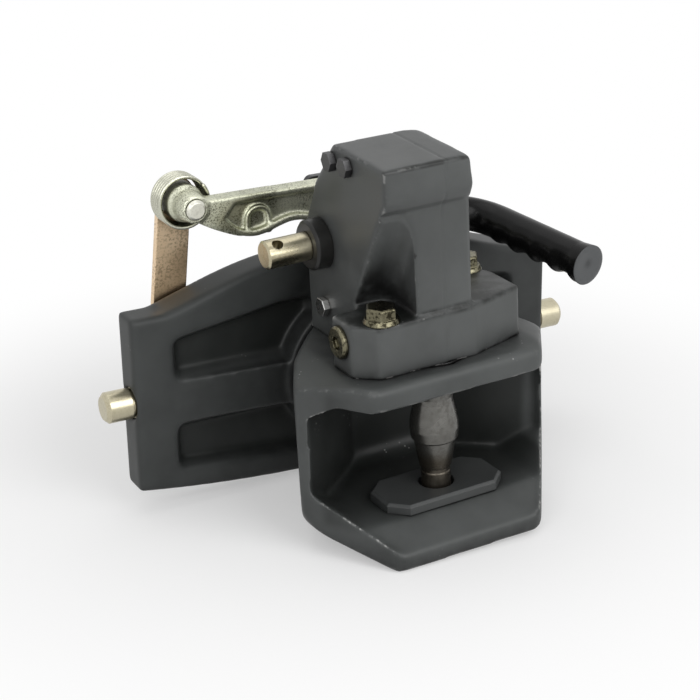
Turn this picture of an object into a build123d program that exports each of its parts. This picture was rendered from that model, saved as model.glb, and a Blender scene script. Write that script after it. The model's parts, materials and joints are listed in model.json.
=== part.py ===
"""Automatic trailer hitch: a swivelling clevis jaw in a height-adjustable slide plate.

Frame: the origin is on the axis of the two side locking pins, in the middle of the plate.
X runs to the right across the plate, Y to the towing vehicle, Z up. Millimetres.
"""
import os
from math import asin, cos, degrees, sin, sqrt, tan

from build123d import *

# Slide plate
plate_width = 380.0
plate_thickness = 30.0
plate_end_height = 145.0
plate_bow = 15.0  # how far the lower edge bows down in the middle
plate_crest = 29.0  # how far the upper edge rises in the middle
crest_half_width = 36.0
rise_start_front = 160.0  # where the upper edge starts to rise, on the front face
rise_start_rear = 168.0
rise_slope_front = 0.22
rise_slope_rear = 0.3
plate_edge_round = 4.0
pocket_depth = 11.0
pocket_outer_end = 157.0
rib_top = 16.0
rib_bottom = -20.0
pocket_rim = 21.0  # metal left between the pockets and the plate's edges
hub_radius = 62.0
hub_rise = 10.0  # how far the hub stands ahead of the plate's face

# Side locking pins and what draws them in
lock_pin_radius = 12.5
lock_pin_stand_out = 22.0
lock_pin_inner_end = 100.0
lock_pin_travel = 24.0
grease_groove_width = 3.0
grease_groove_depth = 1.0
lock_guide_inner_end = 130.0
chamber_inner_end = 64.0
spigot_length = 11.0
spigot_radius = 6.0
cross_pin_radius = 5.0
cross_pin_place = 112.0
draw_plate_thickness = 6.0
draw_plate_top = 94.0
draw_tab_half_width = 22.0
guide_screw_radius = 5.0
guide_screw_place = 52.0
guide_screw_height = 80.0

# Swivel
swivel_radius = 38.0
swivel_thread_radius = 32.0
friction_ring_radius = 58.0
friction_ring_thickness = 6.0
swivel_nut_flats = 84.0
swivel_nut_height = 24.0

# Jaw, depths measured ahead of the plate's front face
jaw_half_width = 109.0
rim_ahead = 116.0
upper_lip_ahead = 173.0
upper_lip_half_width = 72.0
lower_lip_ahead = 183.0
lower_lip_half_width = 63.0
jaw_wall = 7.0
neck_half_width = 54.0
neck_radius = 58.0
jaw_swing = -2.4  # degrees about Y; the jaw turns freely and hangs a little off square
neck_bottom = -58.0
seat_height = 56.0
jaw_corner = 30.0
seat_half_width = 76.0
shoulder_height = 48.0
cheek_height = -66.0
jaw_bottom = -91.0
mouth_top = 37.0
mouth_floor = -60.0
lip_corner = 14.0
lip_bevel = 4.0
lip_drop = 18.0  # how far the floor falls to the lower lip's front edge
mouth_back_ahead = 56.0
mouth_back_half_width = 31.0
mouth_corner = 13.0

# Coupling pin
pin_ahead = 132.0
pin_radius = 19.0
pin_neck_radius = 15.0
nose_radius = 11.5
pin_travel = 84.0
pin_crown_height = -3.0
pin_top = 118.0
pin_tip = -62.0
bush_wall = 6.0
wear_plate_half_width = 51.0
wear_plate_length = 52.0
wear_plate_thickness = 8.0
wear_hole_radius = 14.0

# Mechanism housing
base_height = 40.5
base_front_ahead = 157.0
base_half_width = 72.5
base_corner = 15.0
ear_length = 30.0
housing_left = 50.0
housing_right = 24.0
housing_rear_ahead = 32.0
housing_top = 213.0
housing_wall = 8.0
housing_rear_corner = 25.0
cap_height = 24.0
cap_overhang = 5.0
cap_depth = 76.0
column_half_width = 23.0
base_bolt_radius = 7.0
clamp_bolt_radius = 4.0
side_plug_radius = 12.5

# Release shaft
shaft_radius = 11.0
shaft_ahead = 60.0
shaft_height = 133.0
shaft_stand_out = 36.0
shaft_right_end = 18.0
shaft_hole_radius = 4.25
shaft_hole_turn = 35.0  # degrees that the cross hole leans forward
bush_flange_radius = 19.5
bush_flange_length = 13.0
arm_length = 79.0
arm_thickness = 14.0
arm_tip_radius = 7.0
arm_hub_radius = 18.0

# Hand lever
pivot_x = -136.0
pivot_height = 156.0
pivot_pin_radius = 7.0
strap_width = 27.0
strap_thickness = 6.0
strap_foot = 45.0
strap_lean = 12.0  # how far the strap's foot is to the left of the pivot
strap_bolt_radius = 4.0
strap_bolt_pitch = 14.0
screw_depth = 14.0
lever_thickness = 16.0
lever_front_ahead = 8.0
lever_web_recess = 5.0
lever_top = 160.0
lever_bend_x = -30.0  # where the lever's top edge starts to fall
lever_fall = (1, -0.42)  # direction of the top edge at the lever's tip
lever_tip_x = 84.0
lever_tip_top = 126.0
lever_tip_bottom = 108.0
lever_root_edge = 10.0  # half the lever's width at its pivot
lever_waist = ((20, 120), (-34, 129.5), (-52, 133), (-82, 126), (-112, 133))
flange = 5.5
web_tip_x = 72.0
web_tip_top = 124.5
web_tip_bottom = 116.5
web_root = (-110, 144)
web_waist = ((20, 126), (-34, 135), (-52, 138.5), (-82, 131.5))
arch_place = (-82, 139)
arch_radius = 11.0
arch_inner_radius = 7.5
arch_leg = 16.0
boss_rear_radius = 15.0
boss_snout_radius = 12.5
boss_front_radius = 10.8
lever_spring_wire = 2.8
lever_spring_radius = 20.0
lever_spring_turns = 6.5
lift_pin_radius = 6.0
lift_pin_height = 141.0
rod_radius = 8.0
grip_radius = 14.0
grip_end_radius = 15.5
grip_bend = 34.0
grip_reach = 123.0

# Clearances
running = 0.05  # radial, where a pin or shaft turns or slides in its bore
clear = 0.4  # between faces that move past each other
slack = 0.1  # radial, round a bolt's shank
groove_show = 0.3  # how much of a grease groove shows outside its bore

front_y = -plate_thickness / 2
rear_y = plate_thickness / 2
half_width = plate_width / 2
half_height = plate_end_height / 2


def ahead(distance):
    """Y at a distance ahead of the plate's front face."""
    return front_y - distance


rim_y = ahead(rim_ahead)
upper_lip_y = ahead(upper_lip_ahead)
lower_lip_y = ahead(lower_lip_ahead)
pin_y = ahead(pin_ahead)
base_front_y = ahead(base_front_ahead)
base_top = seat_height + base_height
housing_rear_y = ahead(housing_rear_ahead)
shaft_y = ahead(shaft_ahead)
hub_y = front_y - hub_rise
neck_y = hub_y - clear
lever_front_y = ahead(lever_front_ahead)
lever_rear_y = lever_front_y + lever_thickness
draw_y = rear_y + clear
draw_rear_y = draw_y + draw_plate_thickness
strap_slope = strap_lean / (pivot_height - strap_foot)
strap_bolt_places = [
    (pivot_x - strap_slope * (pivot_height - height), height)
    for height in (strap_foot + 9, strap_foot + 9 + strap_bolt_pitch)
]
lock_pin_tip = half_width + lock_pin_stand_out


def facing(y):
    """Sketch plane seen from the front: sketch x is X, sketch y is Z, extrusion runs to -Y."""
    return Plane(origin=(0, y, 0), x_dir=(1, 0, 0), z_dir=(0, -1, 0))


def beside(x):
    """Sketch plane seen from the right: sketch x is Y, sketch y is Z, extrusion runs to +X."""
    return Plane(origin=(x, 0, 0), x_dir=(0, 1, 0), z_dir=(1, 0, 0))


def level(z):
    """Sketch plane seen from above: extrusion runs to +Z."""
    return Plane.XY.offset(z)


def across(x, y, z):
    """Plane at a point whose extrusion runs to +X, for round pieces that lie across."""
    return Plane(origin=(x, y, z), x_dir=(0, 1, 0), z_dir=(1, 0, 0))


def along(x, y, z):
    """Plane at a point whose extrusion runs to +Y, for round pieces that lie fore and aft."""
    return Plane(origin=(x, y, z), x_dir=(1, 0, 0), z_dir=(0, 1, 0))


def plate_outline(y, inset):
    """Outline of the slide plate at depth y, drawn in by an inset near its rounded faces."""
    rearward = (y - front_y) / plate_thickness
    rise_start = rise_start_front + (rise_start_rear - rise_start_front) * rearward
    slope = rise_slope_front + (rise_slope_rear - rise_slope_front) * rearward
    side = half_width - inset
    end_top = half_height - inset
    crest = end_top + plate_crest
    bottom = -half_height + inset
    with BuildLine() as outline:
        ThreePointArc((-side, bottom), (0, bottom - plate_bow), (side, bottom))
        Line((side, bottom), (side, end_top))
        Line((side, end_top), (rise_start, end_top))
        Spline((rise_start, end_top), (crest_half_width, crest), tangents=((-1, slope), (-1, 0)))
        Line((crest_half_width, crest), (-crest_half_width, crest))
        Spline((-crest_half_width, crest), (-rise_start, end_top), tangents=((-1, 0), (-1, -slope)))
        Line((-rise_start, end_top), (-side, end_top))
        Line((-side, end_top), (-side, bottom))
    return outline.line


# Slide plate: cast body, its upper edge rising later on the front face than on the rear
# Depth and inset of a rounded edge, as shares of its radius
edge_steps = [(0.0, 1.0), (0.3, 0.3), (1.0, 0.0)]
with BuildPart() as slide_plate:
    for depth, inset in edge_steps:
        with BuildSketch(facing(front_y + depth * plate_edge_round)):
            add(plate_outline(front_y + depth * plate_edge_round, inset * plate_edge_round))
            make_face()
    for depth, inset in reversed(edge_steps):
        with BuildSketch(facing(rear_y - depth * plate_edge_round)):
            add(plate_outline(rear_y - depth * plate_edge_round, inset * plate_edge_round))
            make_face()
    loft(ruled=True)
    # Four tapered pockets in the front face, above and below the rib that holds the pins
    with BuildSketch(facing(front_y)) as pockets:
        for side in (-1, 1):
            outer = side * pocket_outer_end
            inner = side * hub_radius * 0.5
            with BuildLine():
                Polyline(
                    (outer, rib_top),
                    (outer, half_height - pocket_rim),
                    (side * hub_radius, half_height + plate_crest / 2 - pocket_rim),
                    (inner, half_height + plate_crest / 2 - pocket_rim),
                    (inner, rib_top),
                    close=True,
                )
            make_face()
            with BuildLine():
                Polyline(
                    (outer, rib_bottom),
                    (outer, -half_height + pocket_rim * 0.6),
                    (inner, -half_height - plate_bow * 0.6 + pocket_rim * 0.6),
                    (inner, rib_bottom),
                    close=True,
                )
            make_face()
        fillet(pockets.vertices(), 9)
    extrude(amount=-pocket_depth, taper=30, mode=Mode.SUBTRACT)
    # Hub that the jaw bears on, and ribs that rise to it from the plate's ends
    with BuildSketch(facing(front_y + pocket_depth)):
        Circle(hub_radius)
    extrude(amount=pocket_depth + hub_rise)
    for side in (-1, 1):
        with BuildSketch(level(rib_bottom)):
            with BuildLine():
                Polyline(
                    (side * pocket_outer_end, front_y + 1),
                    (side * pocket_outer_end, front_y),
                    (side * hub_radius * 0.8, hub_y + 1),
                    (side * hub_radius * 0.8, front_y + 1),
                    close=True,
                )
            make_face()
        extrude(amount=rib_top - rib_bottom)
    # Bore for the jaw's spigot
    with BuildSketch(facing(hub_y)):
        Circle(swivel_radius + running)
    extrude(amount=-plate_thickness - hub_rise, mode=Mode.SUBTRACT)
    for side in (-1, 1):
        # Guide bore of a locking pin, and the chamber behind it that opens to the rear
        with BuildSketch(across(side * half_width, 0, 0)):
            Circle(lock_pin_radius + running)
        extrude(amount=-side * (half_width - lock_guide_inner_end), mode=Mode.SUBTRACT)
        with BuildSketch(across(side * lock_guide_inner_end, 0, 0)):
            Circle(lock_pin_radius + clear)
            with Locations((rear_y / 2, 0)):
                Rectangle(rear_y, 2 * (lock_pin_radius + clear))
        extrude(amount=-side * (lock_guide_inner_end - chamber_inner_end), mode=Mode.SUBTRACT)
    # Blind holes in the rear face for the strap's bolts and the draw plate's guide screws
    with BuildSketch(facing(rear_y)):
        with Locations(*strap_bolt_places):
            Circle(strap_bolt_radius + slack)
        with Locations((-guide_screw_place, guide_screw_height), (guide_screw_place, guide_screw_height)):
            Circle(guide_screw_radius + slack)
    extrude(amount=screw_depth, mode=Mode.SUBTRACT)


def locking_pin(side):
    """Turned pin with a chamfered tip, a grease groove and a spigot that centres its spring."""
    tip_chamfer = 3.0
    groove_outer = half_width + groove_show
    groove_inner = groove_outer - grease_groove_width
    groove_radius = lock_pin_radius - grease_groove_depth
    with BuildPart() as pin:
        with BuildSketch(Plane.XY):
            with BuildLine():
                Polyline(
                    (side * (lock_pin_inner_end - spigot_length), 0),
                    (side * (lock_pin_inner_end - spigot_length), spigot_radius),
                    (side * lock_pin_inner_end, spigot_radius),
                    (side * lock_pin_inner_end, lock_pin_radius),
                    (side * groove_inner, lock_pin_radius),
                    (side * groove_inner, groove_radius),
                    (side * groove_outer, groove_radius),
                    (side * groove_outer, lock_pin_radius),
                    (side * (lock_pin_tip - tip_chamfer), lock_pin_radius),
                    (side * lock_pin_tip, lock_pin_radius - tip_chamfer),
                    (side * lock_pin_tip, 0),
                    close=True,
                )
            make_face()
        revolve(axis=Axis.X)
        with BuildSketch(facing(0)):
            with Locations((side * cross_pin_place, 0)):
                Circle(cross_pin_radius + slack)
        extrude(amount=lock_pin_radius, both=True, mode=Mode.SUBTRACT)
    return pin


def cross_pin(side):
    """Dowel through a locking pin that runs in the draw plate's slanted slot."""
    front_end = -lock_pin_radius + 2
    with BuildPart() as pin:
        with BuildSketch(along(side * cross_pin_place, front_end, 0)):
            Circle(cross_pin_radius)
        extrude(amount=draw_rear_y + 4 - front_end)
        chamfer(pin.edges().filter_by(GeomType.CIRCLE), 1)
    return pin


def coil(seat, length, radius, wire, turns, sides=4):
    """Helical spring that stands on a plane and runs along its normal; its wire has flat sides."""
    start = seat.origin + seat.z_dir * (wire / 2)
    rise = length - wire
    with BuildPart() as spring:
        with BuildLine():
            path = Helix(pitch=rise / turns, height=rise, radius=radius, center=start, direction=seat.z_dir)
        with BuildSketch(Plane(origin=path @ 0, x_dir=path @ 0 - start, z_dir=path % 0)):
            RegularPolygon(wire / 2, sides, major_radius=False, rotation=180 / sides)
        sweep(is_frenet=True)
    return spring


left_locking_pin = locking_pin(-1)
right_locking_pin = locking_pin(1)
left_cross_pin = cross_pin(-1)
right_cross_pin = cross_pin(1)

pin_spring_wire = 3.0
pin_spring_radius = spigot_radius + 0.6 + pin_spring_wire / 2
pin_spring_length = lock_pin_inner_end - chamber_inner_end - 2 * slack
left_seat = Plane(origin=(-chamber_inner_end - slack, 0, 0), x_dir=(0, 1, 0), z_dir=(-1, 0, 0))
right_seat = Plane(origin=(chamber_inner_end + slack, 0, 0), x_dir=(0, 1, 0), z_dir=(1, 0, 0))
left_pin_spring = coil(left_seat, pin_spring_length, pin_spring_radius, pin_spring_wire, 3.5)
right_pin_spring = coil(right_seat, pin_spring_length, pin_spring_radius, pin_spring_wire, 3.5)

# Draw plate: lifted by the lever, its slanted slots pull both locking pins in
draw_window = friction_ring_radius + 8
draw_leg_outer = 104.0
draw_foot_outer = cross_pin_place + cross_pin_radius + 9
draw_foot_top = cross_pin_radius + 10
draw_foot_bottom = -lock_pin_travel - cross_pin_radius - 11
slot_half = 0.5  # clearance on each side of a pin in its slot
with BuildPart() as draw_plate:
    with BuildSketch(facing(draw_rear_y)):
        with BuildLine():
            Polyline(
                (0, lift_pin_height + 13),
                (draw_tab_half_width, lift_pin_height + 13),
                (draw_tab_half_width, draw_plate_top),
                (guide_screw_place + 12, draw_plate_top),
                (draw_leg_outer, draw_window - 8),
                (draw_leg_outer, draw_foot_top),
                (draw_foot_outer, draw_foot_top),
                (draw_foot_outer, -cross_pin_radius),
                (draw_foot_outer - lock_pin_travel, draw_foot_bottom),
                (0, draw_foot_bottom),
                close=True,
            )
        make_face()
        mirror(about=Plane.YZ)
        Circle(draw_window, mode=Mode.SUBTRACT)
        with Locations((0, draw_foot_bottom / 2)):
            Rectangle(2 * draw_window, -draw_foot_bottom, mode=Mode.SUBTRACT)
        for side in (-1, 1):
            with Locations((side * (cross_pin_place - lock_pin_travel / 2), -lock_pin_travel / 2)):
                SlotCenterToCenter(
                    lock_pin_travel * sqrt(2),
                    2 * (cross_pin_radius + slot_half),
                    rotation=45 * side,
                    mode=Mode.SUBTRACT,
                )
            with Locations((side * guide_screw_place, guide_screw_height - lock_pin_travel / 2)):
                SlotCenterToCenter(
                    lock_pin_travel,
                    2 * (guide_screw_radius + slot_half),
                    rotation=90,
                    mode=Mode.SUBTRACT,
                )
        with Locations((0, lift_pin_height)):
            SlotCenterToCenter(8, 2 * (lift_pin_radius + slot_half), mode=Mode.SUBTRACT)
    extrude(amount=draw_plate_thickness)
    fillet(draw_plate.edges().filter_by(Axis.Y).group_by(Axis.Z)[-1], 6)

# Shouldered screws that hold the draw plate against the slide plate
screw_head_radius = 9.0
screw_head_height = 5.0
with BuildPart() as guide_screws:
    with BuildSketch(along(0, rear_y - screw_depth + 1, 0)):
        with Locations((-guide_screw_place, -guide_screw_height), (guide_screw_place, -guide_screw_height)):
            Circle(guide_screw_radius)
    extrude(amount=screw_depth - 1 + draw_plate_thickness + 2 * clear)
    with BuildSketch(along(0, draw_rear_y + clear, 0)):
        with Locations((-guide_screw_place, -guide_screw_height), (guide_screw_place, -guide_screw_height)):
            Circle(screw_head_radius)
            RegularPolygon(4, 6, mode=Mode.SUBTRACT)
    extrude(amount=screw_head_height)

# Swivel: the jaw's spigot passes through the plate and is held behind it
ring_rear_y = rear_y + friction_ring_thickness
nut_front_y = ring_rear_y + clear
nut_rear_y = nut_front_y + swivel_nut_height
spigot_end_y = nut_rear_y + 10
lock_wire_radius = 3.0
with BuildPart() as friction_ring:
    with BuildSketch(along(0, rear_y, 0)):
        Circle(friction_ring_radius)
        Circle(swivel_radius + clear, mode=Mode.SUBTRACT)
    extrude(amount=friction_ring_thickness)

with BuildPart() as swivel_nut:
    with BuildSketch(along(0, nut_front_y, 0)):
        RegularPolygon(swivel_nut_flats / 2, 6, major_radius=False)
        Circle(swivel_thread_radius + slack, mode=Mode.SUBTRACT)
    extrude(amount=swivel_nut_height)

with BuildPart() as nut_lock_pin:
    with BuildSketch(across(-swivel_nut_flats / 2, nut_rear_y + lock_wire_radius, 0)):
        Circle(lock_wire_radius)
    extrude(amount=swivel_nut_flats)

# Jaw: clevis mouth, neck and spigot in one casting
beyond = 12.0  # how far cutting shapes reach past what they cut
with BuildPart() as mouth:
    inner_half = jaw_half_width - jaw_wall
    mouth_back_y = ahead(mouth_back_ahead)
    with BuildSketch(beside(-inner_half)) as mouth_side:
        with BuildLine():
            Polyline(
                (lower_lip_y - beyond, mouth_top),
                (mouth_back_y, mouth_top),
                (mouth_back_y, mouth_floor),
                (lower_lip_y + 1.5 * lip_drop, mouth_floor),
                (lower_lip_y, mouth_floor - lip_drop),
                (lower_lip_y - beyond, mouth_floor - lip_drop),
                close=True,
            )
        make_face()
        fillet(mouth_side.vertices().filter_by(lambda v: v.X > mouth_back_y - 1), 14)
    extrude(amount=2 * inner_half)
    for side in (-1, 1):
        with BuildSketch(level(jaw_bottom)):
            with BuildLine():
                Polyline(
                    (side * inner_half, rim_y),
                    (side * mouth_back_half_width, mouth_back_y),
                    (side * mouth_back_half_width, mouth_back_y + beyond),
                    (side * (inner_half + beyond), mouth_back_y + beyond),
                    (side * (inner_half + beyond), rim_y),
                    close=True,
                )
            make_face()
        extrude(amount=seat_height - jaw_bottom, mode=Mode.SUBTRACT)
        with BuildSketch(facing(mouth_back_y + beyond)):
            with BuildLine():
                Polyline(
                    (side * inner_half, cheek_height + 27),
                    (side * (lower_lip_half_width - 6), mouth_floor - lip_drop),
                    (side * (inner_half + beyond), mouth_floor - lip_drop),
                    (side * (inner_half + beyond), cheek_height + 27),
                    close=True,
                )
            make_face()
        extrude(amount=mouth_back_y + 2 * beyond - lower_lip_y, mode=Mode.SUBTRACT)
        with BuildSketch(facing(mouth_back_y + beyond)):
            with BuildLine():
                Polyline(
                    (side * inner_half, mouth_top - mouth_corner),
                    (side * (inner_half - mouth_corner), mouth_top),
                    (side * inner_half, mouth_top),
                    close=True,
                )
            make_face()
        extrude(amount=mouth_back_y + 2 * beyond - lower_lip_y, mode=Mode.SUBTRACT)



def ahead_of_lip(lip_y, lip_half, inset):
    """Region ahead of a lip's front edge, drawn back over the lip by an inset."""
    side_end = jaw_half_width + 2 * beyond
    with BuildSketch() as region:
        with BuildLine():
            Polyline(
                (-side_end, rim_y + inset),
                (-jaw_half_width, rim_y + inset),
                (-lip_half, lip_y + inset),
                (lip_half, lip_y + inset),
                (jaw_half_width, rim_y + inset),
                (side_end, rim_y + inset),
                (side_end, lower_lip_y - 2 * beyond),
                (-side_end, lower_lip_y - 2 * beyond),
                close=True,
            )
        make_face()
        fillet(region.vertices().filter_by(lambda v: abs(abs(v.X) - lip_half) < 1), lip_corner)
    return region.sketch


bush_outer = pin_radius + running + bush_wall
lower_bush_outer = wear_hole_radius + bush_wall
base_bolt_places = [(-48.0, base_front_y + 12), (57.0, base_front_y + 69)]
base_bolt_bite = 15.0
with BuildPart() as jaw:
    with BuildSketch(facing(neck_y)) as jaw_front:
        with BuildLine():
            Polyline(
                (-seat_half_width, seat_height),
                (seat_half_width, seat_height),
                (jaw_half_width, shoulder_height),
                (jaw_half_width, cheek_height),
                (lower_lip_half_width, jaw_bottom),
                (-lower_lip_half_width, jaw_bottom),
                (-jaw_half_width, cheek_height),
                (-jaw_half_width, shoulder_height),
                close=True,
            )
        make_face()
        outer = jaw_front.vertices().filter_by(lambda v: abs(v.X) > jaw_half_width - 1)
        fillet(outer.filter_by(lambda v: v.Y > 0), 12)
        lower_corners = jaw_front.vertices().filter_by(
            lambda v: abs(v.X) > jaw_half_width - 1 and v.Y < cheek_height + 1
        )
        fillet(lower_corners, jaw_corner)
    extrude(amount=neck_y - lower_lip_y)
    # Plan shape of the two lips
    for lip_y, lip_half, reach in (
        (upper_lip_y, upper_lip_half_width, seat_height + beyond),
        (lower_lip_y, lower_lip_half_width, jaw_bottom - beyond),
    ):
        with BuildSketch(Plane.XY):
            add(ahead_of_lip(lip_y, lip_half, 0))
        extrude(amount=reach, mode=Mode.SUBTRACT)
    # Bevelled edges of the lips
    with BuildSketch(level(seat_height)):
        add(ahead_of_lip(upper_lip_y, upper_lip_half_width, lip_bevel))
    extrude(amount=-lip_bevel, taper=45, mode=Mode.SUBTRACT)
    with BuildSketch(level(jaw_bottom)):
        add(ahead_of_lip(lower_lip_y, lower_lip_half_width, lip_bevel))
    extrude(amount=lip_bevel, taper=45, mode=Mode.SUBTRACT)
    # Behind the rim the casting draws in to the neck
    for side in (-1, 1):
        with BuildSketch(level(jaw_bottom - beyond)):
            with BuildLine():
                Polyline(
                    (side * jaw_half_width, rim_y),
                    (side * neck_half_width, neck_y),
                    (side * (jaw_half_width + beyond), neck_y),
                    (side * (jaw_half_width + beyond), rim_y),
                    close=True,
                )
            make_face()
        extrude(amount=seat_height - jaw_bottom + 2 * beyond, mode=Mode.SUBTRACT)
    with BuildSketch(beside(-jaw_half_width - beyond)):
        with BuildLine():
            Polyline(
                (rim_y, jaw_bottom),
                (neck_y, neck_bottom),
                (neck_y, jaw_bottom - beyond),
                (rim_y, jaw_bottom - beyond),
                close=True,
            )
        make_face()
    extrude(amount=2 * (jaw_half_width + beyond), mode=Mode.SUBTRACT)
    # and becomes round there
    rim_radius = sqrt(jaw_half_width**2 + cheek_height**2)
    with BuildSketch(Plane.XY):
        with BuildLine():
            Polyline(
                (neck_radius, neck_y),
                (rim_radius, rim_y),
                (rim_radius + 2 * beyond, rim_y),
                (rim_radius + 2 * beyond, neck_y),
                close=True,
            )
        make_face()
    revolve(axis=Axis.Y, mode=Mode.SUBTRACT)
    add(mouth.part, mode=Mode.SUBTRACT)
    # Spigot, with a thinner threaded end for the nut
    with BuildSketch(along(0, neck_y - 1, 0)):
        Circle(swivel_radius)
    extrude(amount=nut_front_y - neck_y + 1)
    with BuildSketch(along(0, nut_front_y, 0)):
        Circle(swivel_thread_radius)
    extrude(amount=spigot_end_y - nut_front_y)
    with BuildSketch(across(-swivel_thread_radius, nut_rear_y + lock_wire_radius, 0)):
        Circle(lock_wire_radius + slack)
    extrude(amount=2 * swivel_thread_radius, mode=Mode.SUBTRACT)
    # Bores for the two bushes and holes for the housing's bolts
    with BuildSketch(level(seat_height)):
        with Locations((0, pin_y)):
            Circle(bush_outer + slack)
    extrude(amount=mouth_top - seat_height - 1, mode=Mode.SUBTRACT)
    with BuildSketch(level(jaw_bottom - 1)):
        with Locations((0, pin_y)):
            Circle(lower_bush_outer + slack)
    extrude(amount=mouth_floor - jaw_bottom + 2, mode=Mode.SUBTRACT)
    with BuildSketch(level(seat_height)):
        with Locations(*base_bolt_places):
            Circle(base_bolt_radius + slack)
    extrude(amount=-base_bolt_bite - 1, mode=Mode.SUBTRACT)

guide_bush_top = seat_height + 24
bush_pilot = pin_radius + running + bush_wall / 2  # thinner upper end that centres the housing
with BuildPart() as guide_bush:
    with BuildSketch(level(mouth_top + 1)):
        with Locations((0, pin_y)):
            Circle(bush_outer)
            Circle(pin_radius + running, mode=Mode.SUBTRACT)
    extrude(amount=seat_height - mouth_top - 1)
    with BuildSketch(level(seat_height)):
        with Locations((0, pin_y)):
            Circle(bush_pilot)
            Circle(pin_radius + running, mode=Mode.SUBTRACT)
    extrude(amount=guide_bush_top - seat_height)

with BuildPart() as lower_bush:
    with BuildSketch(level(jaw_bottom + 3)):
        with Locations((0, pin_y)):
            Circle(lower_bush_outer)
            Circle(wear_hole_radius, mode=Mode.SUBTRACT)
    extrude(amount=mouth_floor - jaw_bottom - 3)

with BuildPart() as wear_plate:
    with BuildSketch(level(mouth_floor)) as wear_outline:
        with Locations((0, pin_y)):
            Rectangle(2 * wear_plate_half_width, wear_plate_length)
        chamfer(wear_outline.vertices(), 13)
        with Locations((0, pin_y)):
            Circle(wear_hole_radius, mode=Mode.SUBTRACT)
    extrude(amount=wear_plate_thickness)
    chamfer(wear_plate.faces().sort_by(Axis.Z)[-1].outer_wire().edges(), 2)

# Coupling pin: crowned barrel, stepped nose, and a window that the lift arm's tip works in
arm_swing = 2 * asin(pin_travel / 2 / arm_length)
arm_tip_y = shaft_y - arm_length * cos(arm_swing / 2)
arm_tip_height = shaft_height - pin_travel / 2
tip_play = arm_length * sin(arm_swing / 4) - pin_travel / 4 + clear
with BuildPart() as coupling_pin:
    with BuildSketch(facing(pin_y)):
        with BuildLine():
            Polyline(
                (0, pin_top),
                (pin_radius, pin_top),
                (pin_radius, mouth_top - 3),
                (pin_neck_radius, pin_crown_height + 24),
                (pin_neck_radius, pin_crown_height + 20),
                (pin_neck_radius + 2.2, pin_crown_height + 11),
                (pin_radius - 0.4, pin_crown_height + 4),
                (pin_radius, pin_crown_height - 2),
                (pin_radius - 0.8, pin_crown_height - 10),
                (pin_neck_radius + 1.2, pin_crown_height - 11.5),
                (nose_radius + 1, pin_crown_height - 34),
                (nose_radius - 0.6, pin_crown_height - 35),
                (nose_radius - 0.6, pin_crown_height - 38),
                (nose_radius, pin_crown_height - 39),
                (nose_radius, pin_tip + 3),
                (nose_radius - 3, pin_tip),
                (0, pin_tip),
                close=True,
            )
        make_face()
    revolve(axis=Axis((0, pin_y, 0), (0, 0, 1)))
    chamfer(coupling_pin.edges().group_by(Axis.Z)[-1], 2)
    window_half = arm_tip_radius / cos(arm_swing / 2) + tip_play
    window_flare = window_half + (pin_y + pin_radius + 1 - arm_tip_y) * tan(arm_swing / 2)
    window_front = pin_y - pin_radius - 1
    window_rear = pin_y + pin_radius + 1
    with BuildSketch(beside(-arm_thickness / 2 - clear)):
        with BuildLine():
            Polyline(
                (window_front, arm_tip_height + window_half),
                (arm_tip_y, arm_tip_height + window_half),
                (window_rear, arm_tip_height + window_flare),
                (window_rear, arm_tip_height - window_flare),
                (arm_tip_y, arm_tip_height - window_half),
                (window_front, arm_tip_height - window_half),
                close=True,
            )
        make_face()
    extrude(amount=arm_thickness + 2 * clear, mode=Mode.SUBTRACT)

# Release shaft and lift arm inside the housing
shaft_left_end = -housing_left - bush_flange_length - shaft_stand_out
arm_pin_radius = 3.0
release_spring_wire = 4.0
spring_pocket = housing_left - housing_wall
with BuildPart() as release_shaft:
    with BuildSketch(across(shaft_left_end, shaft_y, shaft_height)):
        Circle(shaft_radius)
    extrude(amount=shaft_right_end - shaft_left_end)
    chamfer(release_shaft.edges().filter_by(GeomType.CIRCLE), 1.5)
    with BuildSketch(across(-housing_left - bush_flange_length - groove_show, shaft_y, shaft_height)):
        Circle(shaft_radius + 1)
        Circle(shaft_radius - grease_groove_depth, mode=Mode.SUBTRACT)
    extrude(amount=grease_groove_width, mode=Mode.SUBTRACT)
    with BuildSketch(level(shaft_height)):
        with Locations((0, shaft_y)):
            Circle(arm_pin_radius + slack)
    extrude(amount=shaft_radius, both=True, mode=Mode.SUBTRACT)
    hole_middle = (shaft_left_end + 9.5, shaft_y, shaft_height)
    with BuildSketch(Plane(hole_middle, x_dir=(1, 0, 0), z_dir=(0, 0, 1)).rotated((shaft_hole_turn, 0, 0))):
        Circle(shaft_hole_radius)
    extrude(amount=shaft_radius, both=True, mode=Mode.SUBTRACT)

with BuildPart() as lift_arm:
    with BuildSketch(beside(-arm_thickness / 2)):
        with Locations((shaft_y, shaft_height)):
            Circle(arm_hub_radius)
        with Locations(((shaft_y + arm_tip_y) / 2, (shaft_height + arm_tip_height) / 2)):
            SlotCenterToCenter(arm_length, 2 * arm_tip_radius, rotation=degrees(arm_swing / 2))
        with Locations((shaft_y, shaft_height)):
            Circle(shaft_radius + slack, mode=Mode.SUBTRACT)
    extrude(amount=arm_thickness)
    with BuildSketch(level(shaft_height)):
        with Locations((0, shaft_y)):
            Circle(arm_pin_radius + slack)
    extrude(amount=arm_hub_radius, both=True, mode=Mode.SUBTRACT)

with BuildPart() as arm_pin:
    with BuildSketch(level(shaft_height)):
        with Locations((0, shaft_y)):
            Circle(arm_pin_radius)
    extrude(amount=arm_hub_radius - 1, both=True)

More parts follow.
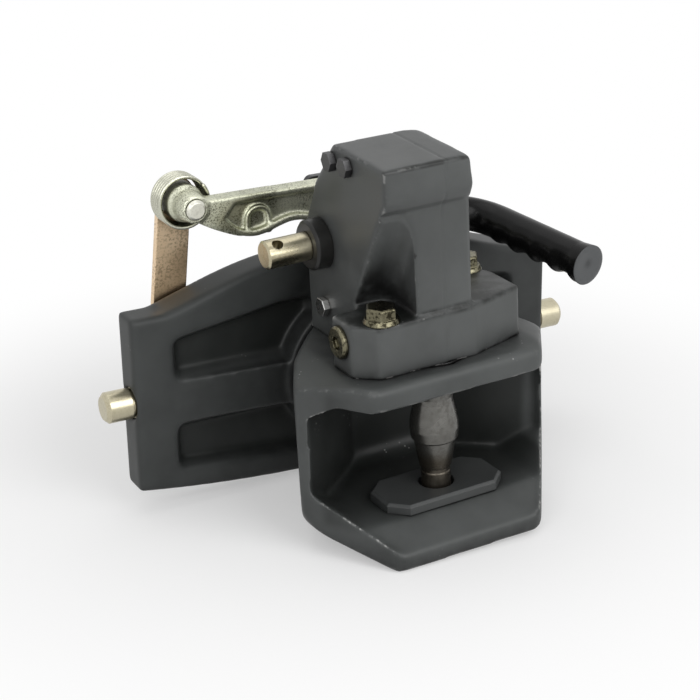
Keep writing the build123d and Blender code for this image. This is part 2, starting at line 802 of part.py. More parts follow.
with BuildPart() as shaft_bush:
    with BuildSketch(across(-housing_left - bush_flange_length, shaft_y, shaft_height)):
        Circle(bush_flange_radius)
    extrude(amount=bush_flange_length)
    chamfer(shaft_bush.edges().group_by(Axis.X)[0], 2)
    with BuildSketch(across(-housing_left, shaft_y, shaft_height)):
        Circle(shaft_radius + bush_wall - 2)
    extrude(amount=housing_wall)
    with BuildSketch(across(-housing_left - bush_flange_length, shaft_y, shaft_height)):
        Circle(shaft_radius + running)
    extrude(amount=bush_flange_length + housing_wall, mode=Mode.SUBTRACT)

spring_seat = Plane(origin=(-spring_pocket + slack, shaft_y, shaft_height), x_dir=(0, 1, 0), z_dir=(1, 0, 0))
release_spring = coil(
    spring_seat,
    spring_pocket - arm_thickness / 2 - 2 * clear,
    shaft_radius + 0.6 + release_spring_wire / 2,
    release_spring_wire,
    4,
)

# Mechanism housing: one outline, split on the plane through the pin's axis
cap_front_y = base_front_y - cap_overhang
cap_rear_y = cap_front_y + cap_depth
cap_bottom = housing_top - cap_height
base_rear_y = base_front_y + 83
ear_rear_y = base_front_y + base_corner + ear_length
clamp_bolt_places = [(cap_rear_y + 1, housing_top - 10), (cap_rear_y - 23, housing_top - 9)]
clamp_bolt_reach = housing_right - 8
lower_clamp_place = (shaft_y - 1, seat_height + 26)
side_plug_place = (base_front_y + 31, seat_height + 23.6)
side_plug_shank = 8.0

with BuildPart() as scoop:
    with BuildSketch(beside(-housing_left - beyond)):
        with BuildLine():
            Polyline(
                (cap_front_y, cap_bottom),
                (base_front_y + 50, base_top),
                (cap_front_y - beyond, base_top),
                (cap_front_y - beyond, cap_bottom),
                close=True,
            )
        make_face()
    extrude(amount=housing_left + beyond - column_half_width)
    slope_edges = scoop.edges().filter_by(lambda e: abs(e.center().X + column_half_width) < 0.1)
    fillet(slope_edges.sort_by(Axis.Y)[-1], 14)

with BuildPart() as housing_block:
    with BuildSketch(beside(-housing_left)) as housing_side:
        with BuildLine():
            Polyline(
                (housing_rear_y, seat_height),
                (housing_rear_y, shaft_height + 7),
                (housing_rear_y - 22, shaft_height + 47),
                (cap_rear_y, housing_top + 3),
                (cap_front_y, housing_top),
                (cap_front_y, cap_bottom),
                (base_front_y, cap_bottom - 2 * cap_overhang),
                (base_front_y, seat_height),
                close=True,
            )
        make_face()
        rear_corners = housing_side.vertices().filter_by(
            lambda v: v.X > cap_rear_y + 5 and v.Y > seat_height + 1
        )
        fillet(rear_corners, housing_rear_corner)
    extrude(amount=housing_left + housing_right)
    fillet(housing_block.faces().sort_by(Axis.X)[-1].edges(), 4)
    add(scoop.part, mode=Mode.SUBTRACT)
    with BuildSketch(level(seat_height)) as base_plan:
        with BuildLine():
            Polyline(
                (-base_half_width, base_front_y + base_corner),
                (-base_half_width + base_corner, base_front_y),
                (housing_right, base_front_y),
                (base_half_width, base_front_y + base_corner),
                (base_half_width, base_rear_y - 30),
                (base_half_width - 12, base_rear_y),
                (-housing_left, base_rear_y),
                (-housing_left, ear_rear_y),
                (-base_half_width, ear_rear_y),
                close=True,
            )
        make_face()
    extrude(amount=base_height)
    # Room for the coupling pin, its guide bush and the swing of the lift arm
    with BuildSketch(level(seat_height)):
        with Locations((0, pin_y)):
            Circle(bush_pilot + slack)
    extrude(amount=guide_bush_top + slack - seat_height, mode=Mode.SUBTRACT)
    with BuildSketch(level(seat_height)):
        with Locations((0, pin_y)):
            Circle(pin_radius + clear)
    extrude(amount=pin_top + pin_travel + 2 - seat_height, mode=Mode.SUBTRACT)
    with BuildSketch(beside(-arm_thickness / 2 - 2)):
        with BuildLine():
            Polyline(
                (shaft_y, shaft_height + arm_hub_radius + 2),
                (pin_y, shaft_height + pin_travel / 2 + arm_tip_radius + 8),
                (pin_y, shaft_height - pin_travel / 2 - arm_tip_radius - 8),
                (shaft_y, shaft_height - arm_hub_radius - 2),
                close=True,
            )
        make_face()
        with Locations((shaft_y, shaft_height)):
            Circle(arm_hub_radius + 2)
    extrude(amount=arm_thickness + 4, mode=Mode.SUBTRACT)
    with BuildSketch(across(-spring_pocket, shaft_y, shaft_height)):
        Circle(arm_hub_radius + 2)
    extrude(amount=spring_pocket, mode=Mode.SUBTRACT)
    with BuildSketch(across(-housing_left, shaft_y, shaft_height)):
        Circle(shaft_radius + bush_wall - 2 + slack)
    extrude(amount=housing_wall, mode=Mode.SUBTRACT)
    with BuildSketch(across(0, shaft_y, shaft_height)):
        Circle(shaft_radius + running)
    extrude(amount=shaft_right_end + clear, mode=Mode.SUBTRACT)
    # Holes for the bolts and the plug
    with BuildSketch(level(seat_height)):
        with Locations(*base_bolt_places):
            Circle(base_bolt_radius + slack)
    extrude(amount=base_height, mode=Mode.SUBTRACT)
    with BuildSketch(beside(-housing_left)):
        with Locations(*clamp_bolt_places, lower_clamp_place):
            Circle(clamp_bolt_radius + slack)
    extrude(amount=housing_left + clamp_bolt_reach + 1, mode=Mode.SUBTRACT)
    with BuildSketch(beside(-base_half_width)):
        with Locations(side_plug_place):
            Circle(side_plug_shank + slack)
    extrude(amount=13, mode=Mode.SUBTRACT)

with BuildPart() as housing:
    add(housing_block.part)
    split(bisect_by=Plane.YZ, keep=Keep.BOTTOM)

with BuildPart() as housing_cover:
    add(housing_block.part)
    split(bisect_by=Plane.YZ, keep=Keep.TOP)

with BuildPart() as base_bolts:
    with BuildSketch(level(seat_height - base_bolt_bite)):
        with Locations(*base_bolt_places):
            Circle(base_bolt_radius)
    extrude(amount=base_bolt_bite + base_height)
    with BuildSketch(level(base_top)):
        with Locations(*base_bolt_places):
            Circle(2 * base_bolt_radius)
    extrude(amount=3.5, taper=25)
    with BuildSketch(level(base_top)):
        with Locations(*base_bolt_places):
            RegularPolygon(1.5 * base_bolt_radius, 6, major_radius=False)
    extrude(amount=12)
    chamfer(base_bolts.edges().group_by(Axis.Z)[-1], 1.2)

with BuildPart() as clamp_bolts:
    with BuildSketch(beside(-housing_left)):
        with Locations(*clamp_bolt_places):
            Circle(clamp_bolt_radius)
    extrude(amount=housing_left + clamp_bolt_reach)
    with BuildSketch(beside(-housing_left)):
        with Locations(*clamp_bolt_places):
            RegularPolygon(1.625 * clamp_bolt_radius, 6, major_radius=False)
    extrude(amount=-5.5)

with BuildPart() as lower_clamp_bolt:
    with BuildSketch(beside(-housing_left)):
        with Locations(lower_clamp_place):
            Circle(clamp_bolt_radius)
    extrude(amount=housing_left + clamp_bolt_reach)
    with BuildSketch(beside(-housing_left)):
        with Locations(lower_clamp_place):
            RegularPolygon(1.625 * clamp_bolt_radius, 6, major_radius=False)
    extrude(amount=-5.5)

with BuildPart() as side_plug:
    with BuildSketch(beside(-base_half_width)):
        with Locations(side_plug_place):
            Circle(side_plug_radius)
    extrude(amount=-4)
    chamfer(side_plug.edges().group_by(Axis.X)[0], 1.5)
    with BuildSketch(beside(-base_half_width - 4)):
        with Locations(side_plug_place):
            RegularPolygon(5, 6, major_radius=False)
    extrude(amount=3, mode=Mode.SUBTRACT)
    with BuildSketch(beside(-base_half_width)):
        with Locations(side_plug_place):
            Circle(side_plug_shank)
    extrude(amount=12)

# Hand lever: a cast arm on a riveted pivot, with a bent rod for the grip
strap_rear_y = rear_y + strap_thickness
boss_rear_y = rear_y - clear
boss_front_y = lever_front_y - 3
lever_mid_y = lever_front_y + lever_thickness / 2
rod_start = Vector(72, lever_mid_y, 119)
rod_corner = Vector(122, lever_mid_y, 109)
grip_end = Vector(146, lever_mid_y - grip_reach, 96.5)
grip_run = (grip_end - rod_corner).normalized()
rod_run = (rod_corner - rod_start).normalized()

with BuildPart() as lever_strap:
    with BuildSketch(facing(strap_rear_y)):
        with BuildLine():
            Polyline(
                (pivot_x - strap_lean - strap_width / 2, strap_foot),
                (pivot_x - strap_lean + strap_width / 2, strap_foot),
                (pivot_x + strap_width / 2, pivot_height),
                (pivot_x - strap_width / 2, pivot_height),
                close=True,
            )
        make_face()
        with Locations((pivot_x, pivot_height)):
            Circle(strap_width / 2 + 3)
            Circle(pivot_pin_radius + slack, mode=Mode.SUBTRACT)
        with Locations(*strap_bolt_places):
            Circle(strap_bolt_radius + slack, mode=Mode.SUBTRACT)
    extrude(amount=strap_thickness)

with BuildPart() as strap_bolts:
    with BuildSketch(facing(strap_rear_y)):
        with Locations(*strap_bolt_places):
            Circle(strap_bolt_radius)
    extrude(amount=strap_thickness + screw_depth - 1)
    with BuildSketch(facing(strap_rear_y)):
        with Locations(*strap_bolt_places):
            RegularPolygon(1.5 * strap_bolt_radius, 6, major_radius=False)
    extrude(amount=-5)

rivet_height = 2.5
with BuildPart() as pivot_pin:
    with BuildSketch(level(pivot_height)):
        with BuildLine():
            Polyline(
                (pivot_x, strap_rear_y + rivet_height),
                (pivot_x + pivot_pin_radius + 1, strap_rear_y + rivet_height),
                (pivot_x + pivot_pin_radius + 2.5, strap_rear_y),
                (pivot_x + pivot_pin_radius, strap_rear_y),
                (pivot_x + pivot_pin_radius, boss_front_y - clear),
                (pivot_x + pivot_pin_radius + 1.2, boss_front_y - clear),
                (pivot_x + pivot_pin_radius - 1, boss_front_y - clear - rivet_height),
                (pivot_x, boss_front_y - clear - rivet_height),
                close=True,
            )
        make_face()
    revolve(axis=Axis((pivot_x, 0, pivot_height), (0, 1, 0)))

spring_front = Plane(origin=(pivot_x, rear_y - slack, pivot_height), x_dir=(1, 0, 0), z_dir=(0, -1, 0))
lever_spring = coil(
    spring_front,
    (lever_spring_turns + 1) * lever_spring_wire * 1.01,
    lever_spring_radius,
    lever_spring_wire,
    lever_spring_turns,
    sides=6,
)

lift_boss_radius = lift_pin_radius + 5
with BuildPart() as lever:
    with BuildSketch(facing(lever_rear_y)):
        with BuildLine():
            root_top = (pivot_x, pivot_height + lever_root_edge)
            root_bottom = (pivot_x, pivot_height - lever_root_edge)
            Polyline(root_top, (pivot_x + 14, lever_top + 0.5), (lever_bend_x, lever_top))
            Spline((lever_bend_x, lever_top), (lever_tip_x, lever_tip_top), tangents=((1, 0), lever_fall))
            Line((lever_tip_x, lever_tip_top), (lever_tip_x, lever_tip_bottom))
            Spline((lever_tip_x, lever_tip_bottom), *lever_waist, root_bottom)
            Line(root_bottom, root_top)
        make_face()
    extrude(amount=lever_thickness)
    # Web sunk in on both faces, with an arched rib left on it
    for face_y, depth in ((lever_front_y, -lever_web_recess), (lever_rear_y, lever_web_recess)):
        with BuildSketch(facing(face_y)):
            with BuildLine():
                web_top = lever_top - flange
                Polyline(web_root, (web_root[0] + 8, web_top), (lever_bend_x, web_top))
                Spline((lever_bend_x, web_top), (web_tip_x, web_tip_top), tangents=((1, 0), lever_fall))
                Line((web_tip_x, web_tip_top), (web_tip_x, web_tip_bottom))
                Spline((web_tip_x, web_tip_bottom), *web_waist, web_root)
            make_face()
            with Locations((0, lift_pin_height)):
                Circle(lift_boss_radius, mode=Mode.SUBTRACT)
        extrude(amount=depth, mode=Mode.SUBTRACT)
    with BuildSketch(facing(lever_front_y + lever_web_recess + 1)):
        with Locations(arch_place):
            Circle(arch_radius)
            with Locations((0, -arch_leg / 2)):
                Rectangle(2 * arch_radius, arch_leg)
            Circle(arch_inner_radius, mode=Mode.SUBTRACT)
            with Locations((0, -arch_leg / 2)):
                Rectangle(2 * arch_inner_radius, arch_leg, mode=Mode.SUBTRACT)
    extrude(amount=lever_web_recess - 1)
    with BuildSketch(level(pivot_height)):
        with BuildLine():
            Polyline(
                (pivot_x, boss_rear_y),
                (pivot_x + boss_rear_radius, boss_rear_y),
                (pivot_x + boss_rear_radius, lever_rear_y),
                (pivot_x + boss_snout_radius, lever_rear_y - 2),
                (pivot_x + boss_front_radius, boss_front_y),
                (pivot_x, boss_front_y),
                close=True,
            )
        make_face()
    revolve(axis=Axis((pivot_x, 0, pivot_height), (0, 1, 0)))
    with BuildLine():
        FilletPolyline(rod_start, rod_corner, grip_end - grip_run * 8, radius=grip_bend)
    with BuildSketch(Plane(origin=rod_start, z_dir=rod_run)):
        Circle(rod_radius)
    sweep()
    with BuildSketch(facing(boss_rear_y)):
        with Locations((pivot_x, pivot_height)):
            Circle(pivot_pin_radius + running)
    extrude(amount=boss_rear_y - boss_front_y, mode=Mode.SUBTRACT)
    with BuildSketch(facing(lever_rear_y)):
        with Locations((0, lift_pin_height)):
            Circle(lift_pin_radius + slack)
    extrude(amount=lever_thickness, mode=Mode.SUBTRACT)

with BuildPart() as lift_pin:
    with BuildSketch(along(0, lever_front_y + 1, lift_pin_height)):
        Circle(lift_pin_radius)
    extrude(amount=draw_rear_y + 4 - lever_front_y - 1)
    chamfer(lift_pin.edges().filter_by(GeomType.CIRCLE), 1)

grip_start = rod_start + rod_run * 18
finger_pitch = 22.0
finger_radius = 13.0
finger_depth = 3.0
with BuildPart() as grip:
    with BuildLine():
        FilletPolyline(grip_start, rod_corner, grip_end, radius=grip_bend)
    with BuildSketch(Plane(origin=grip_start, z_dir=rod_run)):
        Circle(grip_radius)
    sweep()
    with BuildSketch(Plane(origin=grip_end, z_dir=-grip_run)):
        Circle(grip_end_radius)
    extrude(amount=12, taper=6)
    across_grip = grip_run.cross(Vector(0, 0, 1)).normalized()
    for count in range(4):
        groove = grip_end - grip_run * (20 + count * finger_pitch)
        with BuildSketch(Plane(origin=groove, x_dir=grip_run, z_dir=across_grip)):
            with Locations((0, -grip_radius - finger_radius + finger_depth)):
                Circle(finger_radius)
        extrude(amount=2 * grip_radius, both=True, mode=Mode.SUBTRACT)
    with BuildLine():
        FilletPolyline(grip_start, rod_corner, grip_end - grip_run * 7.5, radius=grip_bend)
    with BuildSketch(Plane(origin=grip_start, z_dir=rod_run)):
        Circle(rod_radius + slack)
    sweep(mode=Mode.SUBTRACT)

pieces = {
    "slide_plate": slide_plate,
    "left_locking_pin": left_locking_pin,
    "right_locking_pin": right_locking_pin,
    "left_cross_pin": left_cross_pin,
    "right_cross_pin": right_cross_pin,
    "left_pin_spring": left_pin_spring,
    "right_pin_spring": right_pin_spring,
    "draw_plate": draw_plate,
    "guide_screws": guide_screws,
    "friction_ring": friction_ring,
    "swivel_nut": swivel_nut,
    "nut_lock_pin": nut_lock_pin,
    "jaw": jaw,
    "guide_bush": guide_bush,
    "lower_bush": lower_bush,
    "wear_plate": wear_plate,
    "coupling_pin": coupling_pin,
    "release_shaft": release_shaft,
    "lift_arm": lift_arm,
    "arm_pin": arm_pin,
    "shaft_bush": shaft_bush,
    "release_spring": release_spring,
    "housing": housing,
    "housing_cover": housing_cover,
    "base_bolts": base_bolts,
    "clamp_bolts": clamp_bolts,
    "lower_clamp_bolt": lower_clamp_bolt,
    "side_plug": side_plug,
    "lever_strap": lever_strap,
    "strap_bolts": strap_bolts,
    "pivot_pin": pivot_pin,
    "lever_spring": lever_spring,
    "lever": lever,
    "lift_pin": lift_pin,
    "grip": grip,
}
turning = """jaw guide_bush lower_bush wear_plate coupling_pin swivel_nut nut_lock_pin release_shaft
lift_arm arm_pin shaft_bush release_spring housing housing_cover base_bolts clamp_bolts
lower_clamp_bolt side_plug""".split()
for name in turning:
    pieces[name].part = pieces[name].part.rotate(Axis.Y, jaw_swing)

os.makedirs("parts", exist_ok=True)
for name, piece in pieces.items():
    piece.part.label = name
    export_step(piece.part, f"parts/{name}.step")
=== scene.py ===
"""Looks of the automatic trailer hitch: soft cast skins, procedural materials, light, floor and camera."""

import json
import math

import bmesh
import bpy
import numpy as np
from mathutils import Matrix, Vector


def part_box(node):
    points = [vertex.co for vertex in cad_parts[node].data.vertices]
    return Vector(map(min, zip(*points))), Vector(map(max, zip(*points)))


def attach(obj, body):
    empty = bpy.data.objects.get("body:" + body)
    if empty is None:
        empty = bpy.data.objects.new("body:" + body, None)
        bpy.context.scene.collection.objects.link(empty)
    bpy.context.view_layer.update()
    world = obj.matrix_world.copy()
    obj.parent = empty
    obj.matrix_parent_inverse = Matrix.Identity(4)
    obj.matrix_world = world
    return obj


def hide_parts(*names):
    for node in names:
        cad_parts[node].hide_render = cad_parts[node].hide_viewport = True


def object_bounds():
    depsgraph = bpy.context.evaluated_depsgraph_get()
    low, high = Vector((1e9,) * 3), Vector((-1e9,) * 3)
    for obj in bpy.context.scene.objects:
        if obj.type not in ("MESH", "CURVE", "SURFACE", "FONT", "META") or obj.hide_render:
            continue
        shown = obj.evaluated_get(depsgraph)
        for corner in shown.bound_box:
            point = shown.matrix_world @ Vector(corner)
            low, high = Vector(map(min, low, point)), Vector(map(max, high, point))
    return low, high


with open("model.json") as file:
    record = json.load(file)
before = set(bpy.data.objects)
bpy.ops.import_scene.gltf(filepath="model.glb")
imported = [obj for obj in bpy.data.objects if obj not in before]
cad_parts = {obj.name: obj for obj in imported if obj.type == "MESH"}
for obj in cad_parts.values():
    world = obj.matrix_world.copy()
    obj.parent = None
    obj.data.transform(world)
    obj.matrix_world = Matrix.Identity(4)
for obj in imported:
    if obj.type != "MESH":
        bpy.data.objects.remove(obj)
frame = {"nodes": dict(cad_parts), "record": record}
cad_low, cad_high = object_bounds()


# Node helpers


def new_group(name, inputs, outputs):
    """An empty shader node group with float inputs and outputs; inputs maps a name to its default."""
    tree = bpy.data.node_groups.new(name, "ShaderNodeTree")
    for label, value in inputs.items():
        socket = tree.interface.new_socket(label, in_out="INPUT", socket_type="NodeSocketFloat")
        socket.default_value = value
    for label in outputs:
        tree.interface.new_socket(label, in_out="OUTPUT", socket_type="NodeSocketFloat")
    return tree, tree.nodes.new("NodeGroupInput"), tree.nodes.new("NodeGroupOutput")


def feed(tree, value, socket):
    """Gives a node's input a number, or links another socket to it."""
    if isinstance(value, (int, float)):
        socket.default_value = value
    else:
        tree.links.new(value, socket)


def math_node(tree, operation, a, b=None, clamp=False):
    """A math node whose two inputs are sockets or plain numbers; returns its output."""
    node = tree.nodes.new("ShaderNodeMath")
    node.operation = operation
    node.use_clamp = clamp
    feed(tree, a, node.inputs[0])
    if b is not None:
        feed(tree, b, node.inputs[1])
    return node.outputs[0]


def product(tree, first, *others):
    """Product of sockets and numbers."""
    result = first
    for value in others:
        result = math_node(tree, "MULTIPLY", result, value)
    return result


def noise(tree, vector, scale, detail=4.0, rough=0.55):
    """A noise texture in object space; scale is a socket or a number. Returns its value."""
    node = tree.nodes.new("ShaderNodeTexNoise")
    node.inputs["Detail"].default_value = detail
    node.inputs["Roughness"].default_value = rough
    tree.links.new(vector, node.inputs["Vector"])
    feed(tree, scale, node.inputs["Scale"])
    return node.outputs["Fac"]


def remap(tree, value, low, high, out_low=0.0, out_high=1.0):
    """Smooth step of a value between two limits."""
    node = tree.nodes.new("ShaderNodeMapRange")
    node.interpolation_type = "SMOOTHSTEP"
    tree.links.new(value, node.inputs["Value"])
    feed(tree, low, node.inputs["From Min"])
    feed(tree, high, node.inputs["From Max"])
    feed(tree, out_low, node.inputs["To Min"])
    feed(tree, out_high, node.inputs["To Max"])
    return node.outputs["Result"]


def patches_over(tree, value, amount, start, span, soft):
    """Mask of the patches where a noise value lies over a limit, which falls from start as amount grows."""
    cut = math_node(tree, "SUBTRACT", start, math_node(tree, "MULTIPLY", amount, span))
    return remap(tree, value, cut, math_node(tree, "ADD", cut, soft))


def object_coords(tree):
    """Coordinates in the object's own frame."""
    return tree.nodes.new("ShaderNodeTexCoord").outputs["Object"]


def axis_values(tree, output):
    """X, Y and Z of the object's coordinates ("Object") or of its surface direction ("Normal")."""
    parts = tree.nodes.new("ShaderNodeSeparateXYZ")
    coords = tree.nodes.new("ShaderNodeTexCoord")
    tree.links.new(coords.outputs[output], parts.inputs[0])
    return parts.outputs["X"], parts.outputs["Y"], parts.outputs["Z"]


def along(tree, direction):
    """Distance of a point of the object from its origin, measured along a direction."""
    dot = tree.nodes.new("ShaderNodeVectorMath")
    dot.operation = "DOT_PRODUCT"
    dot.inputs[1].default_value = direction
    tree.links.new(object_coords(tree), dot.inputs[0])
    return dot.outputs["Value"]


def seen_share(tree):
    """1 for rays from the camera, in a reflection or through something clear, and 0 for light."""
    path = tree.nodes.new("ShaderNodeLightPath")
    shows = math_node(tree, "MAXIMUM", path.outputs["Is Camera Ray"], path.outputs["Is Glossy Ray"])
    return math_node(tree, "MAXIMUM", shows, path.outputs["Is Transmission Ray"])


# Shared effects, as node groups that give out masks and values

BEVEL_SAMPLES = 6


def make_edge_wear():
    """Broken line along outward edges, where paint or plating is rubbed through."""
    tree, given, out = new_group("edge_wear", {"Width": 0.002, "Amount": 0.5, "Breakup": 90.0}, ["Mask"])
    bevel = tree.nodes.new("ShaderNodeBevel")
    bevel.samples = BEVEL_SAMPLES
    tree.links.new(given.outputs["Width"], bevel.inputs["Radius"])
    normal = tree.nodes.new("ShaderNodeNewGeometry").outputs["True Normal"]
    dot = tree.nodes.new("ShaderNodeVectorMath")
    dot.operation = "DOT_PRODUCT"
    tree.links.new(bevel.outputs["Normal"], dot.inputs[0])
    tree.links.new(normal, dot.inputs[1])
    turned = math_node(tree, "SUBTRACT", 1.0, dot.outputs["Value"])
    edge = remap(tree, turned, 0.015, 0.12)
    occlusion = tree.nodes.new("ShaderNodeAmbientOcclusion")
    occlusion.only_local = True
    occlusion.samples = 6
    occlusion.inputs["Distance"].default_value = 0.006
    outward = remap(tree, occlusion.outputs["AO"], 0.8, 0.95)
    broken = noise(tree, object_coords(tree), given.outputs["Breakup"], 6.0, 0.65)
    patches = patches_over(tree, broken, given.outputs["Amount"], start=0.78, span=0.4, soft=0.06)
    mask = math_node(tree, "MULTIPLY", product(tree, edge, outward), patches, clamp=True)
    tree.links.new(mask, out.inputs["Mask"])
    return tree


def make_rim_wear():
    """Broken line along the rounded outward edges of a finely meshed casting."""
    tree, given, out = new_group("rim_wear", {"Amount": 0.5, "Breakup": 70.0}, ["Edge", "Mask"])
    point = tree.nodes.new("ShaderNodeNewGeometry").outputs["Pointiness"]
    edge = remap(tree, point, 0.515, 0.56)
    broken = noise(tree, object_coords(tree), given.outputs["Breakup"], 6.0, 0.65)
    patches = patches_over(tree, broken, given.outputs["Amount"], start=0.78, span=0.4, soft=0.06)
    tree.links.new(edge, out.inputs["Edge"])
    tree.links.new(math_node(tree, "MULTIPLY", edge, patches, clamp=True), out.inputs["Mask"])
    return tree


def make_cast_grain():
    """Height of a cast or blasted skin: fine grain over slow unevenness."""
    tree, given, out = new_group("cast_grain", {"Scale": 900.0}, ["Height", "Tone"])
    coords = object_coords(tree)
    fine = noise(tree, coords, given.outputs["Scale"], 3.0, 0.6)
    slow = noise(tree, coords, product(tree, given.outputs["Scale"], 0.06), 3.0, 0.5)
    height = math_node(tree, "ADD", product(tree, fine, 0.5), slow)
    tree.links.new(height, out.inputs["Height"])
    tone = noise(tree, coords, product(tree, given.outputs["Scale"], 0.02), 4.0, 0.6)
    tree.links.new(remap(tree, tone, 0.3, 0.7), out.inputs["Tone"])
    return tree


def make_specks():
    """Small scattered chips and sparkles."""
    tree, given, out = new_group("specks", {"Scale": 260.0, "Amount": 0.3}, ["Mask"])
    coords = object_coords(tree)
    cells = tree.nodes.new("ShaderNodeTexVoronoi")
    tree.links.new(coords, cells.inputs["Vector"])
    tree.links.new(given.outputs["Scale"], cells.inputs["Scale"])
    dots = remap(tree, cells.outputs["Distance"], 0.22, 0.12)
    where = noise(tree, coords, product(tree, given.outputs["Scale"], 0.12), 3.0, 0.6)
    patches = patches_over(tree, where, given.outputs["Amount"], start=0.75, span=0.35, soft=0.08)
    tree.links.new(math_node(tree, "MULTIPLY", dots, patches, clamp=True), out.inputs["Mask"])
    return tree


def make_crease_dirt_and_shade():
    """Darkening of inside corners and hollows where occlusion is high, broken up by noise: painted shade with
    dirt.
    """
    tree, given, out = new_group("crease_dirt_and_shade", {"Reach": 0.012, "Amount": 0.6}, ["Mask"])
    # Painted shade, with dirt: occlusion darkens creases and hollows.
    occlusion = tree.nodes.new("ShaderNodeAmbientOcclusion")
    occlusion.samples = 8
    tree.links.new(given.outputs["Reach"], occlusion.inputs["Distance"])
    hollow = remap(tree, occlusion.outputs["AO"], 0.88, 0.36)
    broken = remap(tree, noise(tree, object_coords(tree), 60.0, 4.0, 0.6), 0.25, 0.6, 0.45, 1.0)
    mask = math_node(tree, "MULTIPLY", product(tree, hollow, broken), given.outputs["Amount"], clamp=True)
    tree.links.new(mask, out.inputs["Mask"])
    return tree


def make_mottle():
    """Fine irregular blotches, as on a zinc-plated casting."""
    tree, given, out = new_group("mottle", {"Scale": 600.0, "Amount": 0.5}, ["Mask"])
    coords = object_coords(tree)
    fine = remap(tree, noise(tree, coords, given.outputs["Scale"], 3.0, 0.6), 0.47, 0.62)
    slow = noise(tree, coords, product(tree, given.outputs["Scale"], 0.08), 3.0, 0.5)
    where = remap(tree, slow, 0.35, 0.6, 0.35, 1.0)
    mask = math_node(tree, "MULTIPLY", product(tree, fine, where), given.outputs["Amount"], clamp=True)
    tree.links.new(mask, out.inputs["Mask"])
    return tree


EDGE_WEAR = make_edge_wear()
RIM_WEAR = make_rim_wear()
CAST_GRAIN = make_cast_grain()
SPECKS = make_specks()
CREASE_DIRT_AND_SHADE = make_crease_dirt_and_shade()
MOTTLE = make_mottle()


# Materials


class Finish:
    """A material under construction, with its Principled shader and short ways to reach the shared groups."""

    def __init__(self, name, roughness=0.5, metallic=0.0, coat=0.0, coat_roughness=0.2):
        self.material = bpy.data.materials.new(name)
        self.material.use_nodes = True
        self.tree = self.material.node_tree
        self.shader = self.tree.nodes["Principled BSDF"]
        self.shader.inputs["Roughness"].default_value = roughness
        self.shader.inputs["Metallic"].default_value = metallic
        self.shader.inputs["Coat Weight"].default_value = coat
        self.shader.inputs["Coat Roughness"].default_value = coat_roughness

    def use(self, group, **values):
        """Outputs of a shared group that is given these values."""
        node = self.tree.nodes.new("ShaderNodeGroup")
        node.node_tree = group
        for label, value in values.items():
            node.inputs[label].default_value = value
        return node.outputs

    def blend(self, mask, a, b):
        """Colour a where the mask is 0 and b where it is 1; a and b are sockets or RGB values."""
        node = self.tree.nodes.new("ShaderNodeMix")
        node.data_type = "RGBA"
        self.tree.links.new(mask, node.inputs["Factor"])
        for place, value in ((6, a), (7, b)):
            if isinstance(value, tuple):
                node.inputs[place].default_value = (*value, 1.0)
            else:
                self.tree.links.new(value, node.inputs[place])
        return node.outputs[2]

    def colour(self, socket):
        self.tree.links.new(socket, self.shader.inputs["Base Color"])

    def set(self, label, socket):
        self.tree.links.new(socket, self.shader.inputs[label])

    def gloss(self, level):
        self.shader.inputs["Specular IOR Level"].default_value = level

    def bump(self, height, strength, distance, radius=0.0):
        """Bump over a softened edge; radius rounds the edges in shading."""
        node = self.tree.nodes.new("ShaderNodeBump")
        node.inputs["Strength"].default_value = strength
        node.inputs["Distance"].default_value = distance
        self.tree.links.new(height, node.inputs["Height"])
        if radius:
            bevel = self.tree.nodes.new("ShaderNodeBevel")
            bevel.samples = BEVEL_SAMPLES
            bevel.inputs["Radius"].default_value = radius
            self.tree.links.new(bevel.outputs["Normal"], node.inputs["Normal"])
        self.tree.links.new(node.outputs["Normal"], self.shader.inputs["Normal"])


# Where castings darken: painted shade, with dirt in the pockets and on the ledge, and the cap's rubbed edge;
# each pair gives where it starts and where it is full, in metres
POCKET_DEPTH = (-0.013, -0.006)
MOUTH_SIDES = (0.0985, 0.0925)
MOUTH_ROOF = (0.049, 0.040)
MOUTH_FLOOR = (-0.070, -0.060)
MOUTH_DEPTH = (-0.187, -0.135)
LEDGE_REACH = (0.0050, 0.0012)
CAP_FRONT = (-0.1725, -0.1750)
CAP_TOP = (0.2090, 0.2108)

# The jaw and the housing stand turned by this angle at rest; heights on the housing are measured upright
JAW_SWING = math.radians(-2.4)
BASE_TOP = 0.0965


def plate_pocket_dirt_and_shade(tree):
    """Mask of the pocket floors on the plate's front, darkened by painted shade with dirt."""
    depth = remap(tree, axis_values(tree, "Object")[1], *POCKET_DEPTH)
    front = remap(tree, axis_values(tree, "Normal")[1], -0.3, -0.7)
    return product(tree, depth, front, 0.6)


def mouth_painted_shade(tree):
    """Mask of painted shade on the mouth's inner walls, stronger towards the back."""
    x, y, z = axis_values(tree, "Object")
    between_cheeks = remap(tree, math_node(tree, "ABSOLUTE", x), *MOUTH_SIDES)
    under_roof = remap(tree, z, *MOUTH_ROOF)
    over_floor = remap(tree, z, *MOUTH_FLOOR)
    behind_lip = remap(tree, y, *MOUTH_DEPTH)
    return product(tree, between_cheeks, under_roof, over_floor, behind_lip, 0.7)


